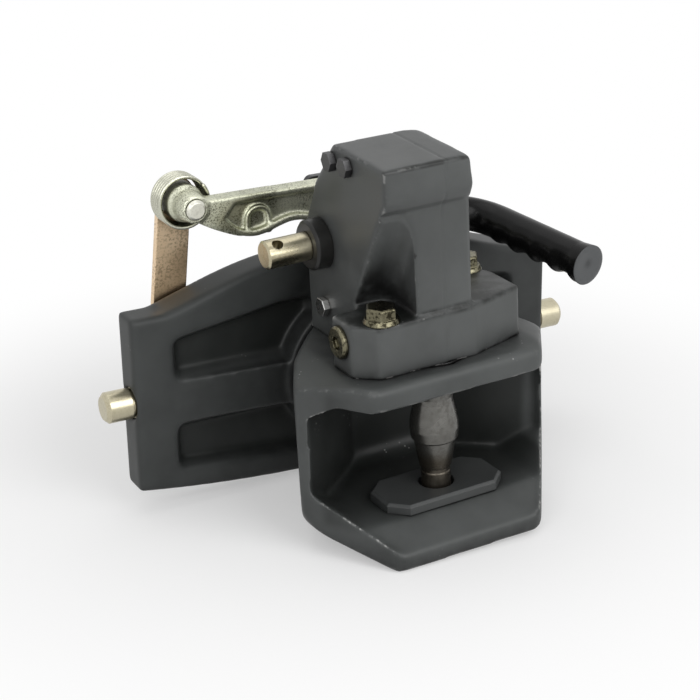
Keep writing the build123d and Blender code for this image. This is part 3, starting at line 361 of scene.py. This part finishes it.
def housing_shade_and_rubbed_edge(tree):
    """Mask of painted shade with dirt on top of the housing's base, and of the rubbed front edge of its cap,
    in patches.
    """
    height = along(tree, (math.sin(JAW_SWING), 0.0, math.cos(JAW_SWING)))
    off_top = math_node(tree, "ABSOLUTE", math_node(tree, "SUBTRACT", height, BASE_TOP))
    off_left = remap(tree, axis_values(tree, "Normal")[0], -0.8, -0.4)
    patches = remap(tree, noise(tree, object_coords(tree), 60.0, 5.0, 0.6), 0.40, 0.60, 0.35, 1.0)
    # The top of the base is darkened: painted shade, with dirt.
    ledge = product(tree, remap(tree, off_top, *LEDGE_REACH), off_left)
    ahead = remap(tree, axis_values(tree, "Object")[1], *CAP_FRONT)
    edge = product(tree, remap(tree, height, *CAP_TOP), ahead)
    return product(tree, math_node(tree, "MAXIMUM", ledge, edge), patches, 0.9)


# Darkening colours: painted shade with dirt in creases; painted shade in the mouth, the pockets and on the
# housing's ledge, with dirt in the last two, and the cap's rubbed edge; edges rubbed dark.
DIRT_AND_SHADE = (0.006, 0.006, 0.006)
SOIL_AND_SHADE = (0.007, 0.008, 0.007)
RUBBED_DARK = (0.008, 0.008, 0.008)


def painted_casting(
    name,
    dark,
    light,
    chip,
    wear,
    specks,
    gloss,
    grime_and_shade,
    soil_and_shade=None,
    dark_rims=0.0,
    dense=True,
    radius=0.0,
):
    """Satin paint over a casting, uneven in tone, worn on edges, with painted shade and dirt in its creases,
    lightly speckled.

    grime_and_shade gives reach and amount of the painted shade with dirt in creases, soil_and_shade is a
    function that gives a mask of surfaces darkened by painted shade, with dirt, and of rubbed edges, and
    dark_rims is the share of edges rubbed dark. With dense off, edges are found by a bevel in shading, and
    radius rounds them.
    """
    finish = Finish(name, coat=0.05, coat_roughness=0.3)
    finish.gloss(gloss)
    tree = finish.tree
    grain = finish.use(CAST_GRAIN, Scale=700.0)
    if dense:
        rims = finish.use(RIM_WEAR, Amount=wear, Breakup=70.0)
        worn = rims["Mask"]
    else:
        worn = finish.use(EDGE_WEAR, Width=0.0018, Amount=wear, Breakup=70.0)["Mask"]
    dots = finish.use(SPECKS, Scale=240.0, Amount=specks)["Mask"]
    bare = math_node(tree, "MAXIMUM", worn, product(tree, dots, 0.6))
    # Creases are darkened: painted shade, with dirt.
    creases = finish.use(CREASE_DIRT_AND_SHADE, Reach=grime_and_shade[0], Amount=grime_and_shade[1])["Mask"]
    paint = finish.blend(creases, finish.blend(grain["Tone"], dark, light), DIRT_AND_SHADE)
    # Pockets and the housing's ledge take painted shade with dirt, the mouth painted shade, and the cap's
    # edge a rubbed dark line.
    if soil_and_shade:
        paint = finish.blend(soil_and_shade(tree), paint, SOIL_AND_SHADE)
    if dark_rims:
        patches = remap(tree, noise(tree, object_coords(tree), 38.0, 5.0, 0.6), 0.44, 0.56)
        paint = finish.blend(product(tree, rims["Edge"], patches, dark_rims), paint, RUBBED_DARK)
    finish.colour(finish.blend(bare, paint, chip))
    finish.set("Roughness", remap(tree, grain["Tone"], 0.0, 1.0, 0.38, 0.52))
    finish.set("Metallic", product(tree, worn, 0.5))
    finish.bump(grain["Height"], strength=0.3, distance=0.0004, radius=radius)
    return finish.material


def plated(
    name,
    low,
    high,
    stain,
    rough,
    grain_scale=500.0,
    wear=0.3,
    radius=0.0008,
    mottle=(600.0, 0.25),
    grime_and_shade=(0.004, 0.5),
):
    """Zinc or turned steel: tint between low and high, stained in patches, brighter where it is rubbed.

    rough gives the least and the most roughness, mottle the scale and amount of blotches, and grime_and_shade
    the reach and amount of the stain in creases, which is painted shade with dirt.
    """
    finish = Finish(name, metallic=1.0)
    tree = finish.tree
    grain = finish.use(CAST_GRAIN, Scale=grain_scale)
    worn = finish.use(EDGE_WEAR, Width=0.0012, Amount=wear, Breakup=120.0)["Mask"]
    blots = finish.use(SPECKS, Scale=180.0, Amount=0.45)["Mask"]
    blotches = finish.use(MOTTLE, Scale=mottle[0], Amount=mottle[1])["Mask"]
    creases = finish.use(CREASE_DIRT_AND_SHADE, Reach=grime_and_shade[0], Amount=grime_and_shade[1])["Mask"]
    tint = finish.blend(grain["Tone"], low, high)
    tint = finish.blend(product(tree, blots, 0.5), tint, stain)
    tint = finish.blend(blotches, tint, stain)
    # Creases take the stain's colour: painted shade, with dirt.
    tint = finish.blend(creases, tint, stain)
    rubbed_bright = tuple(min(1.0, c * 1.5) for c in high)
    finish.colour(finish.blend(worn, tint, rubbed_bright))
    finish.set("Roughness", remap(tree, grain["Tone"], 0.0, 1.0, *rough))
    finish.bump(grain["Height"], strength=0.12, distance=0.0003, radius=radius)
    return finish.material


def plastic(name, dark, light, roughness, gloss):
    """Moulded plastic with a fine grain."""
    finish = Finish(name, roughness=roughness)
    finish.gloss(gloss)
    grain = finish.use(CAST_GRAIN, Scale=1200.0)
    finish.colour(finish.blend(grain["Tone"], dark, light))
    finish.bump(grain["Height"], strength=0.05, distance=0.0002, radius=0.001)
    return finish.material


def grip_finish(end, run):
    """Black moulded plastic whose end face is painted lighter, as dust and as a painted sheen.

    end is the middle of that face and run the direction in which it looks.
    """
    finish = Finish("grip_plastic", roughness=0.26)
    finish.gloss(0.14)
    tree = finish.tree
    grain = finish.use(CAST_GRAIN, Scale=1200.0)
    reach = run.dot(end)
    # The end face is lighter: a film of dust and a painted sheen.
    end_dust_and_sheen = remap(tree, along(tree, run), reach - 0.0013, reach - 0.0006)
    black = finish.blend(grain["Tone"], (0.003, 0.003, 0.003), (0.006, 0.006, 0.006))
    finish.colour(finish.blend(end_dust_and_sheen, black, (0.075, 0.078, 0.08)))
    finish.bump(grain["Height"], strength=0.05, distance=0.0002)
    return finish.material


def pin_finish():
    """Worn hardened steel; brown grease has gathered on the nose."""
    finish = Finish("coupling_pin_steel", metallic=0.85)
    tree = finish.tree
    grain = finish.use(CAST_GRAIN, Scale=420.0)
    height = axis_values(tree, "Object")[2]
    ragged = math_node(tree, "ADD", height, product(tree, grain["Tone"], 0.006))
    grease = remap(tree, ragged, -0.018, -0.030)
    blotches = finish.use(MOTTLE, Scale=300.0, Amount=0.5)["Mask"]
    steel = finish.blend(grain["Tone"], (0.10, 0.098, 0.09), (0.26, 0.255, 0.24))
    steel = finish.blend(blotches, steel, (0.07, 0.066, 0.058))
    finish.colour(finish.blend(product(tree, grease, 0.8), steel, (0.045, 0.036, 0.024)))
    finish.set("Roughness", remap(tree, grain["Tone"], 0.0, 1.0, 0.24, 0.44))
    finish.bump(grain["Height"], strength=0.2, distance=0.0004, radius=0.0008)
    return finish.material


# Axis of the grip: from where it starts on the lever's rod, round the rod's bend, to its end
GRIP_START = Vector((0.08965, -0.015, 0.11547))
GRIP_CORNER = Vector((0.122, -0.015, 0.109))
GRIP_END = Vector((0.146, -0.138, 0.0965))

MATERIALS = {
    "plate_paint": painted_casting(
        "plate_paint",
        dark=(0.028, 0.030, 0.0295),
        light=(0.043, 0.046, 0.045),
        chip=(0.16, 0.16, 0.16),
        wear=0.3,
        specks=0.2,
        gloss=0.2,
        grime_and_shade=(0.05, 0.75),
        soil_and_shade=plate_pocket_dirt_and_shade,
    ),
    "jaw_paint": painted_casting(
        "jaw_paint",
        dark=(0.041, 0.044, 0.043),
        light=(0.062, 0.066, 0.065),
        chip=(0.36, 0.36, 0.35),
        wear=0.7,
        specks=0.4,
        gloss=0.25,
        grime_and_shade=(0.05, 0.85),
        soil_and_shade=mouth_painted_shade,
    ),
    "housing_paint": painted_casting(
        "housing_paint",
        dark=(0.05, 0.053, 0.052),
        light=(0.07, 0.074, 0.073),
        chip=(0.34, 0.34, 0.33),
        wear=0.6,
        specks=0.25,
        gloss=0.3,
        grime_and_shade=(0.06, 1.0),
        soil_and_shade=housing_shade_and_rubbed_edge,
        dark_rims=0.85,
    ),
    "gold_zinc": plated(
        "gold_zinc",
        low=(0.43, 0.39, 0.27),
        high=(0.60, 0.56, 0.43),
        stain=(0.24, 0.20, 0.11),
        rough=(0.26, 0.40),
    ),
    "gold_zinc_dull": plated(
        "gold_zinc_dull",
        low=(0.08, 0.072, 0.046),
        high=(0.22, 0.205, 0.138),
        stain=(0.016, 0.014, 0.008),
        rough=(0.20, 0.38),
        wear=0.6,
        radius=0.0012,
        mottle=(420.0, 0.9),
    ),
    "dark_steel": plated(
        "dark_steel",
        low=(0.05, 0.05, 0.052),
        high=(0.10, 0.10, 0.102),
        stain=(0.03, 0.028, 0.025),
        rough=(0.35, 0.5),
    ),
    "bright_steel": plated(
        "bright_steel",
        low=(0.50, 0.50, 0.49),
        high=(0.68, 0.68, 0.66),
        stain=(0.2, 0.19, 0.17),
        rough=(0.22, 0.36),
    ),
    "pin_steel": pin_finish(),
    "wear_steel": painted_casting(
        "wear_steel",
        dark=(0.036, 0.038, 0.038),
        light=(0.052, 0.055, 0.054),
        chip=(0.2, 0.2, 0.2),
        wear=0.4,
        specks=0.3,
        gloss=0.3,
        grime_and_shade=(0.02, 0.4),
        dense=False,
        radius=0.0012,
    ),
    "spring_steel": plated(
        "spring_steel",
        low=(0.44, 0.44, 0.36),
        high=(0.64, 0.64, 0.54),
        stain=(0.07, 0.065, 0.045),
        rough=(0.22, 0.34),
        grime_and_shade=(0.0035, 1.0),
    ),
    "lever_zinc": plated(
        "lever_zinc",
        low=(0.40, 0.41, 0.30),
        high=(0.68, 0.69, 0.56),
        stain=(0.09, 0.088, 0.055),
        rough=(0.34, 0.50),
        grain_scale=700.0,
        wear=0.7,
        radius=0.0,
        mottle=(820.0, 0.85),
        grime_and_shade=(0.012, 0.7),
    ),
    "strap_zinc": plated(
        "strap_zinc",
        low=(0.70, 0.51, 0.31),
        high=(0.90, 0.73, 0.53),
        stain=(0.24, 0.16, 0.09),
        rough=(0.28, 0.40),
        mottle=(520.0, 0.6),
        grime_and_shade=(0.03, 0.7),
    ),
    "pivot_steel": plated(
        "pivot_steel",
        low=(0.58, 0.58, 0.51),
        high=(0.82, 0.81, 0.72),
        stain=(0.20, 0.19, 0.14),
        rough=(0.28, 0.42),
    ),
    "bush_black": plastic(
        "bush_black",
        dark=(0.007, 0.007, 0.007),
        light=(0.014, 0.014, 0.013),
        roughness=0.34,
        gloss=0.3,
    ),
    "grip_plastic": grip_finish(GRIP_END, (GRIP_END - GRIP_CORNER).normalized()),
}
FINISH_OF_NODE = {"base_bolts": "gold_zinc_dull", "side_plug": "gold_zinc_dull", "guide_bush": "dark_steel"}

slot_of = {entry["node"]: entry["material_slot"] for entry in frame["record"]["subparts"]}
for node_name, piece in frame["nodes"].items():
    piece.data.materials.clear()
    piece.data.materials.append(MATERIALS[FINISH_OF_NODE.get(node_name, slot_of[node_name])])


# Jaw and plate: a fine even mesh over the CAD solid, smoothed so that its edges and corners are soft

SOFT_CASTINGS = {"jaw": (0.0017, 26), "slide_plate": (0.0016, 14)}  # voxel size and passes of smoothing
for node_name, (voxel, passes) in SOFT_CASTINGS.items():
    skin = frame["nodes"][node_name].modifiers.new("skin", "REMESH")
    skin.mode = "VOXEL"
    skin.voxel_size = voxel
    skin.use_smooth_shade = True
    soften = frame["nodes"][node_name].modifiers.new("soften", "SMOOTH")
    soften.factor = 0.5
    soften.iterations = passes


# New pieces


def new_piece(name, data):
    """An object in the scene, for a mesh, a camera or a light."""
    piece = bpy.data.objects.new(name, data)
    bpy.context.collection.objects.link(piece)
    return piece


def even_skin(name, nodes, voxel):
    """A new piece: one even closed mesh over the solids of one or more CAD nodes."""
    joined = bmesh.new()
    for node in nodes:
        joined.from_mesh(frame["nodes"][node].data)
    rough = bpy.data.meshes.new(name + "_rough")
    joined.to_mesh(rough)
    joined.free()
    piece = new_piece(name, rough)
    remesh = piece.modifiers.new("skin", "REMESH")
    remesh.mode = "VOXEL"
    remesh.voxel_size = voxel
    bpy.context.view_layer.update()
    even = bpy.data.meshes.new_from_object(piece.evaluated_get(bpy.context.evaluated_depsgraph_get()))
    piece.modifiers.clear()
    piece.data = even
    even.name = name
    bpy.data.meshes.remove(rough)
    return piece


def points_of(piece):
    """The places of a piece's vertices, one row each."""
    flat = np.empty(len(piece.data.vertices) * 3)
    piece.data.vertices.foreach_get("co", flat)
    return flat.reshape(-1, 3)


def normals_of(piece):
    """The directions of a piece's vertices, one row each."""
    flat = np.empty(len(piece.data.vertices) * 3)
    piece.data.vertices.foreach_get("normal", flat)
    return flat.reshape(-1, 3)


def set_points(piece, points):
    """Moves a piece's vertices and shades it smooth."""
    piece.data.vertices.foreach_set("co", points.ravel())
    piece.data.polygons.foreach_set("use_smooth", [True] * len(piece.data.polygons))
    piece.data.update()


def relaxed(piece, points, passes, weight=1.0):
    """Points drawn towards their neighbours; weight is one number or one for each point."""
    flat = np.empty(len(piece.data.edges) * 2, dtype=np.int32)
    piece.data.edges.foreach_get("vertices", flat)
    a, b = flat.reshape(-1, 2).T
    size = len(points)
    degree = np.maximum(np.bincount(a, minlength=size) + np.bincount(b, minlength=size), 1)
    share = np.broadcast_to(np.asarray(weight, dtype=float), (size,))
    points = points.copy()
    for _ in range(passes):
        for axis in range(3):
            column = points[:, axis]
            mean = (np.bincount(a, column[b], size) + np.bincount(b, column[a], size)) / degree
            points[:, axis] = column + 0.5 * share * (mean - column)
    return points


def ramp(values, low, high):
    """0 below low, 1 above high, smooth between."""
    t = np.clip((values - low) / (high - low), 0.0, 1.0)
    return t * t * (3.0 - 2.0 * t)


def ring_faces(count, around):
    """Faces of a tube whose vertices lie in rings one after another."""
    faces = []
    for ring in range(count - 1):
        for k in range(around):
            a, b = ring * around + k, ring * around + (k + 1) % around
            faces.append((a, b, b + around, a + around))
    return faces


def dress(piece, body, slot, *nodes):
    """Finish of a new piece, the body that it rides on and the CAD nodes that it stands for."""
    piece.data.materials.clear()
    piece.data.materials.append(MATERIALS[slot])
    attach(piece, body)
    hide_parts(*nodes)


# Housing: both halves under one cast skin, with a fine groove where they meet

HOUSING_VOXEL = 0.0013
HOUSING_SMOOTHING = 12
CORNER_SMOOTHING = 50
# Heights above the seat between which the skin's edges turn from sharp to soft
SEAT_EDGE = (0.002, 0.007)
COLUMN_RECESS = 0.0026
COLUMN_FOOT = (BASE_TOP - 0.0005, BASE_TOP + 0.0007)
COLUMN_HEAD = (0.176, 0.183)
COLUMN_FRONT = (-0.1712, -0.1670)
ROUND_CORNER_X = (0.008, 0.018)
ROUND_CORNER_Z = (0.190, 0.204)
SEAM_HALF_WIDTH = 0.0012
SEAM_DEPTH = 0.0007
PIN_ROOM = 0.0198
ROOF_DEPTH = 0.004

swing_cos, swing_sin = math.cos(JAW_SWING), math.sin(JAW_SWING)
upright = np.array([[swing_cos, 0.0, -swing_sin], [0.0, 1.0, 0.0], [swing_sin, 0.0, swing_cos]])

housing_skin = even_skin("housing_skin", ("housing", "housing_cover"), HOUSING_VOXEL)
skin_points = points_of(housing_skin)
height = (skin_points @ upright.T)[:, 2]
above_seat = ramp(height - height.min(), *SEAT_EDGE)
skin_points = relaxed(housing_skin, skin_points, HOUSING_SMOOTHING, above_seat)

# The column's front stands a little behind the base and the cap
level_points = skin_points @ upright.T
column = ramp(level_points[:, 2], *COLUMN_FOOT) * (1.0 - ramp(level_points[:, 2], *COLUMN_HEAD))
column_front = 1.0 - ramp(level_points[:, 1], *COLUMN_FRONT)
level_points[:, 1] += COLUMN_RECESS * column * column_front
round_corner = ramp(level_points[:, 0], *ROUND_CORNER_X) * ramp(level_points[:, 2], *ROUND_CORNER_Z)
skin_points = relaxed(housing_skin, level_points @ upright, CORNER_SMOOTHING, round_corner)

# Groove between the halves
set_points(housing_skin, skin_points)
off_seam = np.abs((skin_points @ upright.T)[:, 0])
groove = np.clip(1.0 - off_seam / SEAM_HALF_WIDTH, 0.0, 1.0) * SEAM_DEPTH
level_points = (skin_points - normals_of(housing_skin) * groove[:, None]) @ upright.T

# Room for the lifted coupling pin, whose bore the smoothing has narrowed
pin_low, pin_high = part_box("coupling_pin")
pin_axis_y = (pin_low[1] + pin_high[1]) / 2
off_axis = np.hypot(level_points[:, 0], level_points[:, 1] - pin_axis_y)
in_bore = off_axis < PIN_ROOM
bore_roof = level_points[in_bore, 2].max() - ROOF_DEPTH
bore_wall = in_bore & (level_points[:, 2] < bore_roof)
widen = np.where(bore_wall, PIN_ROOM / np.maximum(off_axis, 1e-6), 1.0)
level_points[:, 0] *= widen
level_points[:, 1] = pin_axis_y + (level_points[:, 1] - pin_axis_y) * widen
set_points(housing_skin, level_points @ upright)
dress(housing_skin, "jaw", "housing_paint", "housing", "housing_cover")


# Lever: cast skin, with the arched rib ending in the lower flange

LEVER_VOXEL = 0.0009
LEVER_SMOOTHING = 6
ARCH_SMOOTHING = 4
ARCH_X = -0.082
ARCH_HALF_WIDTH = 0.016
FLANGE_LOW_Z = 0.126
FLANGE_RISE = 9.5  # height over the square of the distance from the arch's middle, per metre

lever_skin = even_skin("lever_skin", ("lever",), LEVER_VOXEL)
lever_points = relaxed(lever_skin, points_of(lever_skin), LEVER_SMOOTHING)
off_arch = lever_points[:, 0] - ARCH_X
flange = FLANGE_LOW_Z + FLANGE_RISE * off_arch**2
under_arch = np.abs(off_arch) < ARCH_HALF_WIDTH
lever_points[:, 2] = np.where(under_arch, np.maximum(lever_points[:, 2], flange), lever_points[:, 2])
set_points(lever_skin, relaxed(lever_skin, lever_points, ARCH_SMOOTHING))
dress(lever_skin, "lever", "lever_zinc", "lever")


# Grip: moulded plastic, swept along the bent rod, with finger ridges below and a dished end

GRIP_BEND = 0.0276
GRIP_RADIUS = 0.014
GRIP_STEPS = 90
BEND_STEPS = 24
START_STEPS = 4
GRIP_AROUND = 48
ROD_RADIUS = 0.0075
START_ROUND = 0.0025
START_ROUND_LENGTH = 0.004
FINGER_PITCH = 0.0225
FINGER_RISE = 0.0030
FINGER_SINK = 0.0004
FINGER_SHARPNESS = 1.4
FINGER_UNDERSIDE = 1.5
FINGER_PHASE = 0.006
FINGER_REACH = 0.108
FINGER_FADE = 0.02
END_FLARE = 0.0014
END_FLARE_LENGTH = 0.012
# Radius, step ahead of the end and finger ridge of the rings that close the end
END_RINGS = (
    (0.0153, -0.0004, 0.0024),
    (0.0146, 0.0, 0.0019),
    (0.0110, -0.0003, 0.0010),
    (0.0050, -0.0007, 0.0003),
    (0.0014, -0.0009, 0.0),
)


def grip_path():
    """Points along the rod's axis from where the grip starts to its end."""
    before = (GRIP_CORNER - GRIP_START).normalized()
    after = (GRIP_END - GRIP_CORNER).normalized()
    bend_in = GRIP_CORNER - before * GRIP_BEND
    bend_out = GRIP_CORNER + after * GRIP_BEND
    path = [GRIP_START.lerp(bend_in, i / START_STEPS) for i in range(START_STEPS)]
    for i in range(BEND_STEPS):
        t = i / BEND_STEPS
        path.append(bend_in.lerp(GRIP_CORNER, t).lerp(GRIP_CORNER.lerp(bend_out, t), t))
    path += [bend_out.lerp(GRIP_END, i / GRIP_STEPS) for i in range(GRIP_STEPS + 1)]
    return path


def grip_rings(path):
    """Middle, direction, radius and finger ridge of each ring of the grip."""
    left = [0.0]
    for near, far in zip(reversed(path[:-1]), reversed(path[1:])):
        left.append(left[-1] + (far - near).length)
    left.reverse()
    first = path[1] - path[0]
    rings = [(path[0], first, ROD_RADIUS, 0.0), (path[0], first, GRIP_RADIUS - START_ROUND, 0.0)]
    for place, point in enumerate(path[1:-1], 1):
        to_end = left[place]
        run = path[place + 1] - path[place - 1]
        start_round = START_ROUND * max(0.0, 1.0 - (left[0] - to_end) / START_ROUND_LENGTH) ** 2
        wave = math.cos(2 * math.pi * (to_end - FINGER_PHASE) / FINGER_PITCH)
        ridge = FINGER_RISE * (0.5 + 0.5 * wave) ** FINGER_SHARPNESS - FINGER_SINK
        fade = min(1.0, max(0.0, (FINGER_REACH - to_end) / FINGER_FADE))
        flare = END_FLARE * max(0.0, 1.0 - to_end / END_FLARE_LENGTH)
        rings.append((point, run, GRIP_RADIUS - start_round + flare, ridge * fade))
    last = path[-1] - path[-2]
    for radius, ahead, ridge in END_RINGS:
        rings.append((path[-1] + last.normalized() * ahead, last, radius, ridge))
    return rings


def moulded_grip(name, around):
    """A closed tube through the grip's rings, with the finger ridges on its lower side."""
    rings = grip_rings(grip_path())
    verts = []
    for middle, run, radius, ridge in rings:
        run = run.normalized()
        down = (Vector((0.0, 0.0, -1.0)) + run * run.z).normalized()
        side = run.cross(down)
        for k in range(around):
            turn = 2 * math.pi * k / around
            below = (0.5 + 0.5 * math.cos(turn)) ** FINGER_UNDERSIDE
            verts.append(middle + (down * math.cos(turn) + side * math.sin(turn)) * (radius + ridge * below))
    faces = ring_faces(len(rings), around)
    faces.append(tuple(reversed(range(around))))
    faces.append(tuple(range((len(rings) - 1) * around, len(rings) * around)))
    mesh = bpy.data.meshes.new(name)
    mesh.from_pydata(verts, [], faces)
    mesh.update()
    shape = bmesh.new()
    shape.from_mesh(mesh)
    bmesh.ops.recalc_face_normals(shape, faces=shape.faces)
    shape.to_mesh(mesh)
    shape.free()
    mesh.polygons.foreach_set("use_smooth", [True] * len(mesh.polygons))
    return new_piece(name, mesh)


grip_piece = moulded_grip("grip_moulding", GRIP_AROUND)
dress(grip_piece, "lever", "grip_plastic", "grip")


# Lever spring: round wire, close wound

WIRE = 0.0032
SPRING_TURNS = 5.1
WIRE_AROUND = 12
STEPS_PER_TURN = 48
SPRING_INSET = 0.0001
# Step along the wire, in wire radii, and share of the wire's size, of the rings that round its ends
END_STEPS = ((0.6, 0.8), (0.95, 0.35))


def wound_wire(name, centre, radius, start_y, end_y):
    """Helix of round wire about an axis that runs along Y, with rounded ends."""
    steps = int(SPRING_TURNS * STEPS_PER_TURN)
    rings = [(0.0, -step, size) for step, size in reversed(END_STEPS)]
    rings += [(i / steps, 0.0, 1.0) for i in range(steps + 1)]
    rings += [(1.0, step, size) for step, size in END_STEPS]
    slide = WIRE / 2 / (2 * math.pi * radius)
    axis = Vector((0.0, 1.0, 0.0))
    verts = []
    for share, step, size in rings:
        angle = 2 * math.pi * (share * SPRING_TURNS + step * slide)
        out = Vector((math.cos(angle), 0.0, math.sin(angle)))
        middle = Vector(centre) + out * radius + axis * (start_y + (end_y - start_y) * share)
        for k in range(WIRE_AROUND):
            turn = 2 * math.pi * k / WIRE_AROUND
            verts.append(middle + (out * math.cos(turn) + axis * math.sin(turn)) * (WIRE / 2 * size))
    count = len(rings)
    faces = ring_faces(count, WIRE_AROUND)
    faces.append(tuple(range(WIRE_AROUND)))
    faces.append(tuple(range(count * WIRE_AROUND - 1, (count - 1) * WIRE_AROUND - 1, -1)))
    mesh = bpy.data.meshes.new(name)
    mesh.from_pydata(verts, [], faces)
    mesh.polygons.foreach_set("use_smooth", [True] * len(mesh.polygons))
    mesh.update()
    return new_piece(name, mesh)


spring_low, spring_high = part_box("lever_spring")
spring_middle = ((spring_low[0] + spring_high[0]) / 2, 0.0, (spring_low[2] + spring_high[2]) / 2)
spring_radius = (spring_high[0] - spring_low[0]) / 2 - WIRE / 2 - SPRING_INSET
spring_rear, spring_front = spring_high[1] - WIRE / 2, spring_low[1] + WIRE / 2
spring_coil = wound_wire("lever_spring_wire", spring_middle, spring_radius, spring_rear, spring_front)
dress(spring_coil, "slide", "spring_steel", "lever_spring")


# Camera

PHOTO_PIXELS = 700
SENSOR_MM = 36.0
FOCAL_PIXELS = 1751.19
TARGET = Vector((-0.00122, -0.015, 0.01151))
DISTANCE = 1.43744
AZIMUTH = math.radians(-27.95)
ELEVATION = math.radians(21.86)
ROLL = math.radians(-0.98)

back = Vector(
    (math.sin(AZIMUTH) * math.cos(ELEVATION), -math.cos(AZIMUTH) * math.cos(ELEVATION), math.sin(ELEVATION))
)
level_right = Vector((math.cos(AZIMUTH), math.sin(AZIMUTH), 0.0))
level_up = back.cross(level_right)
right = math.cos(ROLL) * level_right + math.sin(ROLL) * level_up
up = back.cross(right)
camera_data = bpy.data.cameras.new("photo_camera")
camera_data.sensor_width = SENSOR_MM
camera_data.lens = FOCAL_PIXELS / PHOTO_PIXELS * SENSOR_MM
camera = new_piece("photo_camera", camera_data)
camera_turn = Matrix((right, up, back)).transposed().to_4x4()
camera.matrix_world = Matrix.Translation(TARGET + back * DISTANCE) @ camera_turn
bpy.context.scene.camera = camera


# Floor

FLOOR_REACH = 6.0
FLOOR_COLOUR = (0.93, 0.93, 0.93, 1.0)
FADE_NEAR = 0.22
FADE_FAR = 0.55
FADE_SHARE = 0.35  # share of white close to the part


def fade_floor_to_white(finish, near, far, near_share):
    """Where it is seen, the floor turns into the white backdrop away from the part.

    Near the part it keeps a soft shadow.
    """
    tree = finish.tree
    length = tree.nodes.new("ShaderNodeVectorMath")
    length.operation = "LENGTH"
    tree.links.new(object_coords(tree), length.inputs[0])
    share = remap(tree, length.outputs["Value"], near, far, near_share, 1.0)
    white = tree.nodes.new("ShaderNodeEmission")
    mix = tree.nodes.new("ShaderNodeMixShader")
    tree.links.new(product(tree, seen_share(tree), share), mix.inputs["Fac"])
    tree.links.new(finish.shader.outputs[0], mix.inputs[1])
    tree.links.new(white.outputs[0], mix.inputs[2])
    tree.links.new(mix.outputs[0], tree.nodes["Material Output"].inputs["Surface"])


floor_z = cad_low[2]
floor_corners = [(x * FLOOR_REACH, y * FLOOR_REACH, floor_z) for x, y in ((-1, -1), (1, -1), (1, 1), (-1, 1))]
floor_mesh = bpy.data.meshes.new("floor")
floor_mesh.from_pydata(floor_corners, [], [(0, 1, 2, 3)])
floor = new_piece("floor", floor_mesh)
floor_finish = Finish("floor_pale", roughness=0.9)
floor_finish.shader.inputs["Base Color"].default_value = FLOOR_COLOUR
fade_floor_to_white(floor_finish, FADE_NEAR, FADE_FAR, FADE_SHARE)
floor_mesh.materials.append(floor_finish.material)


# Light

LIGHT_AIM = Vector((0.0, -0.08, 0.05))
WORLD_LIGHT = 0.4


def soft_light(name, place, size, watts):
    """A square area light that looks at the part."""
    data = bpy.data.lights.new(name, "AREA")
    data.shape = "SQUARE"
    data.size = size
    data.energy = watts
    lamp = new_piece(name, data)
    aim = LIGHT_AIM - Vector(place)
    lamp.rotation_euler = aim.to_track_quat("-Z", "Y").to_euler()
    lamp.location = place


soft_light("key", place=(0.5, -1.85, 1.15), size=1.6, watts=26.0)
soft_light("left", place=(-1.3, -1.4, 1.0), size=1.2, watts=13.0)
soft_light("top", place=(0.0, 0.3, 2.0), size=1.6, watts=7.0)

# The world is white where the camera or a reflection sees it, and gives the part a quieter light
world = bpy.data.worlds.new("studio")
bpy.context.scene.world = world
world.use_nodes = True
sky = world.node_tree
background = sky.nodes["Background"]
background.inputs["Color"].default_value = (1.0, 1.0, 1.0, 1.0)
sky.links.new(remap(sky, seen_share(sky), 0.0, 1.0, WORLD_LIGHT, 1.0), background.inputs["Strength"])
bpy.context.scene.view_settings.view_transform = "Standard"
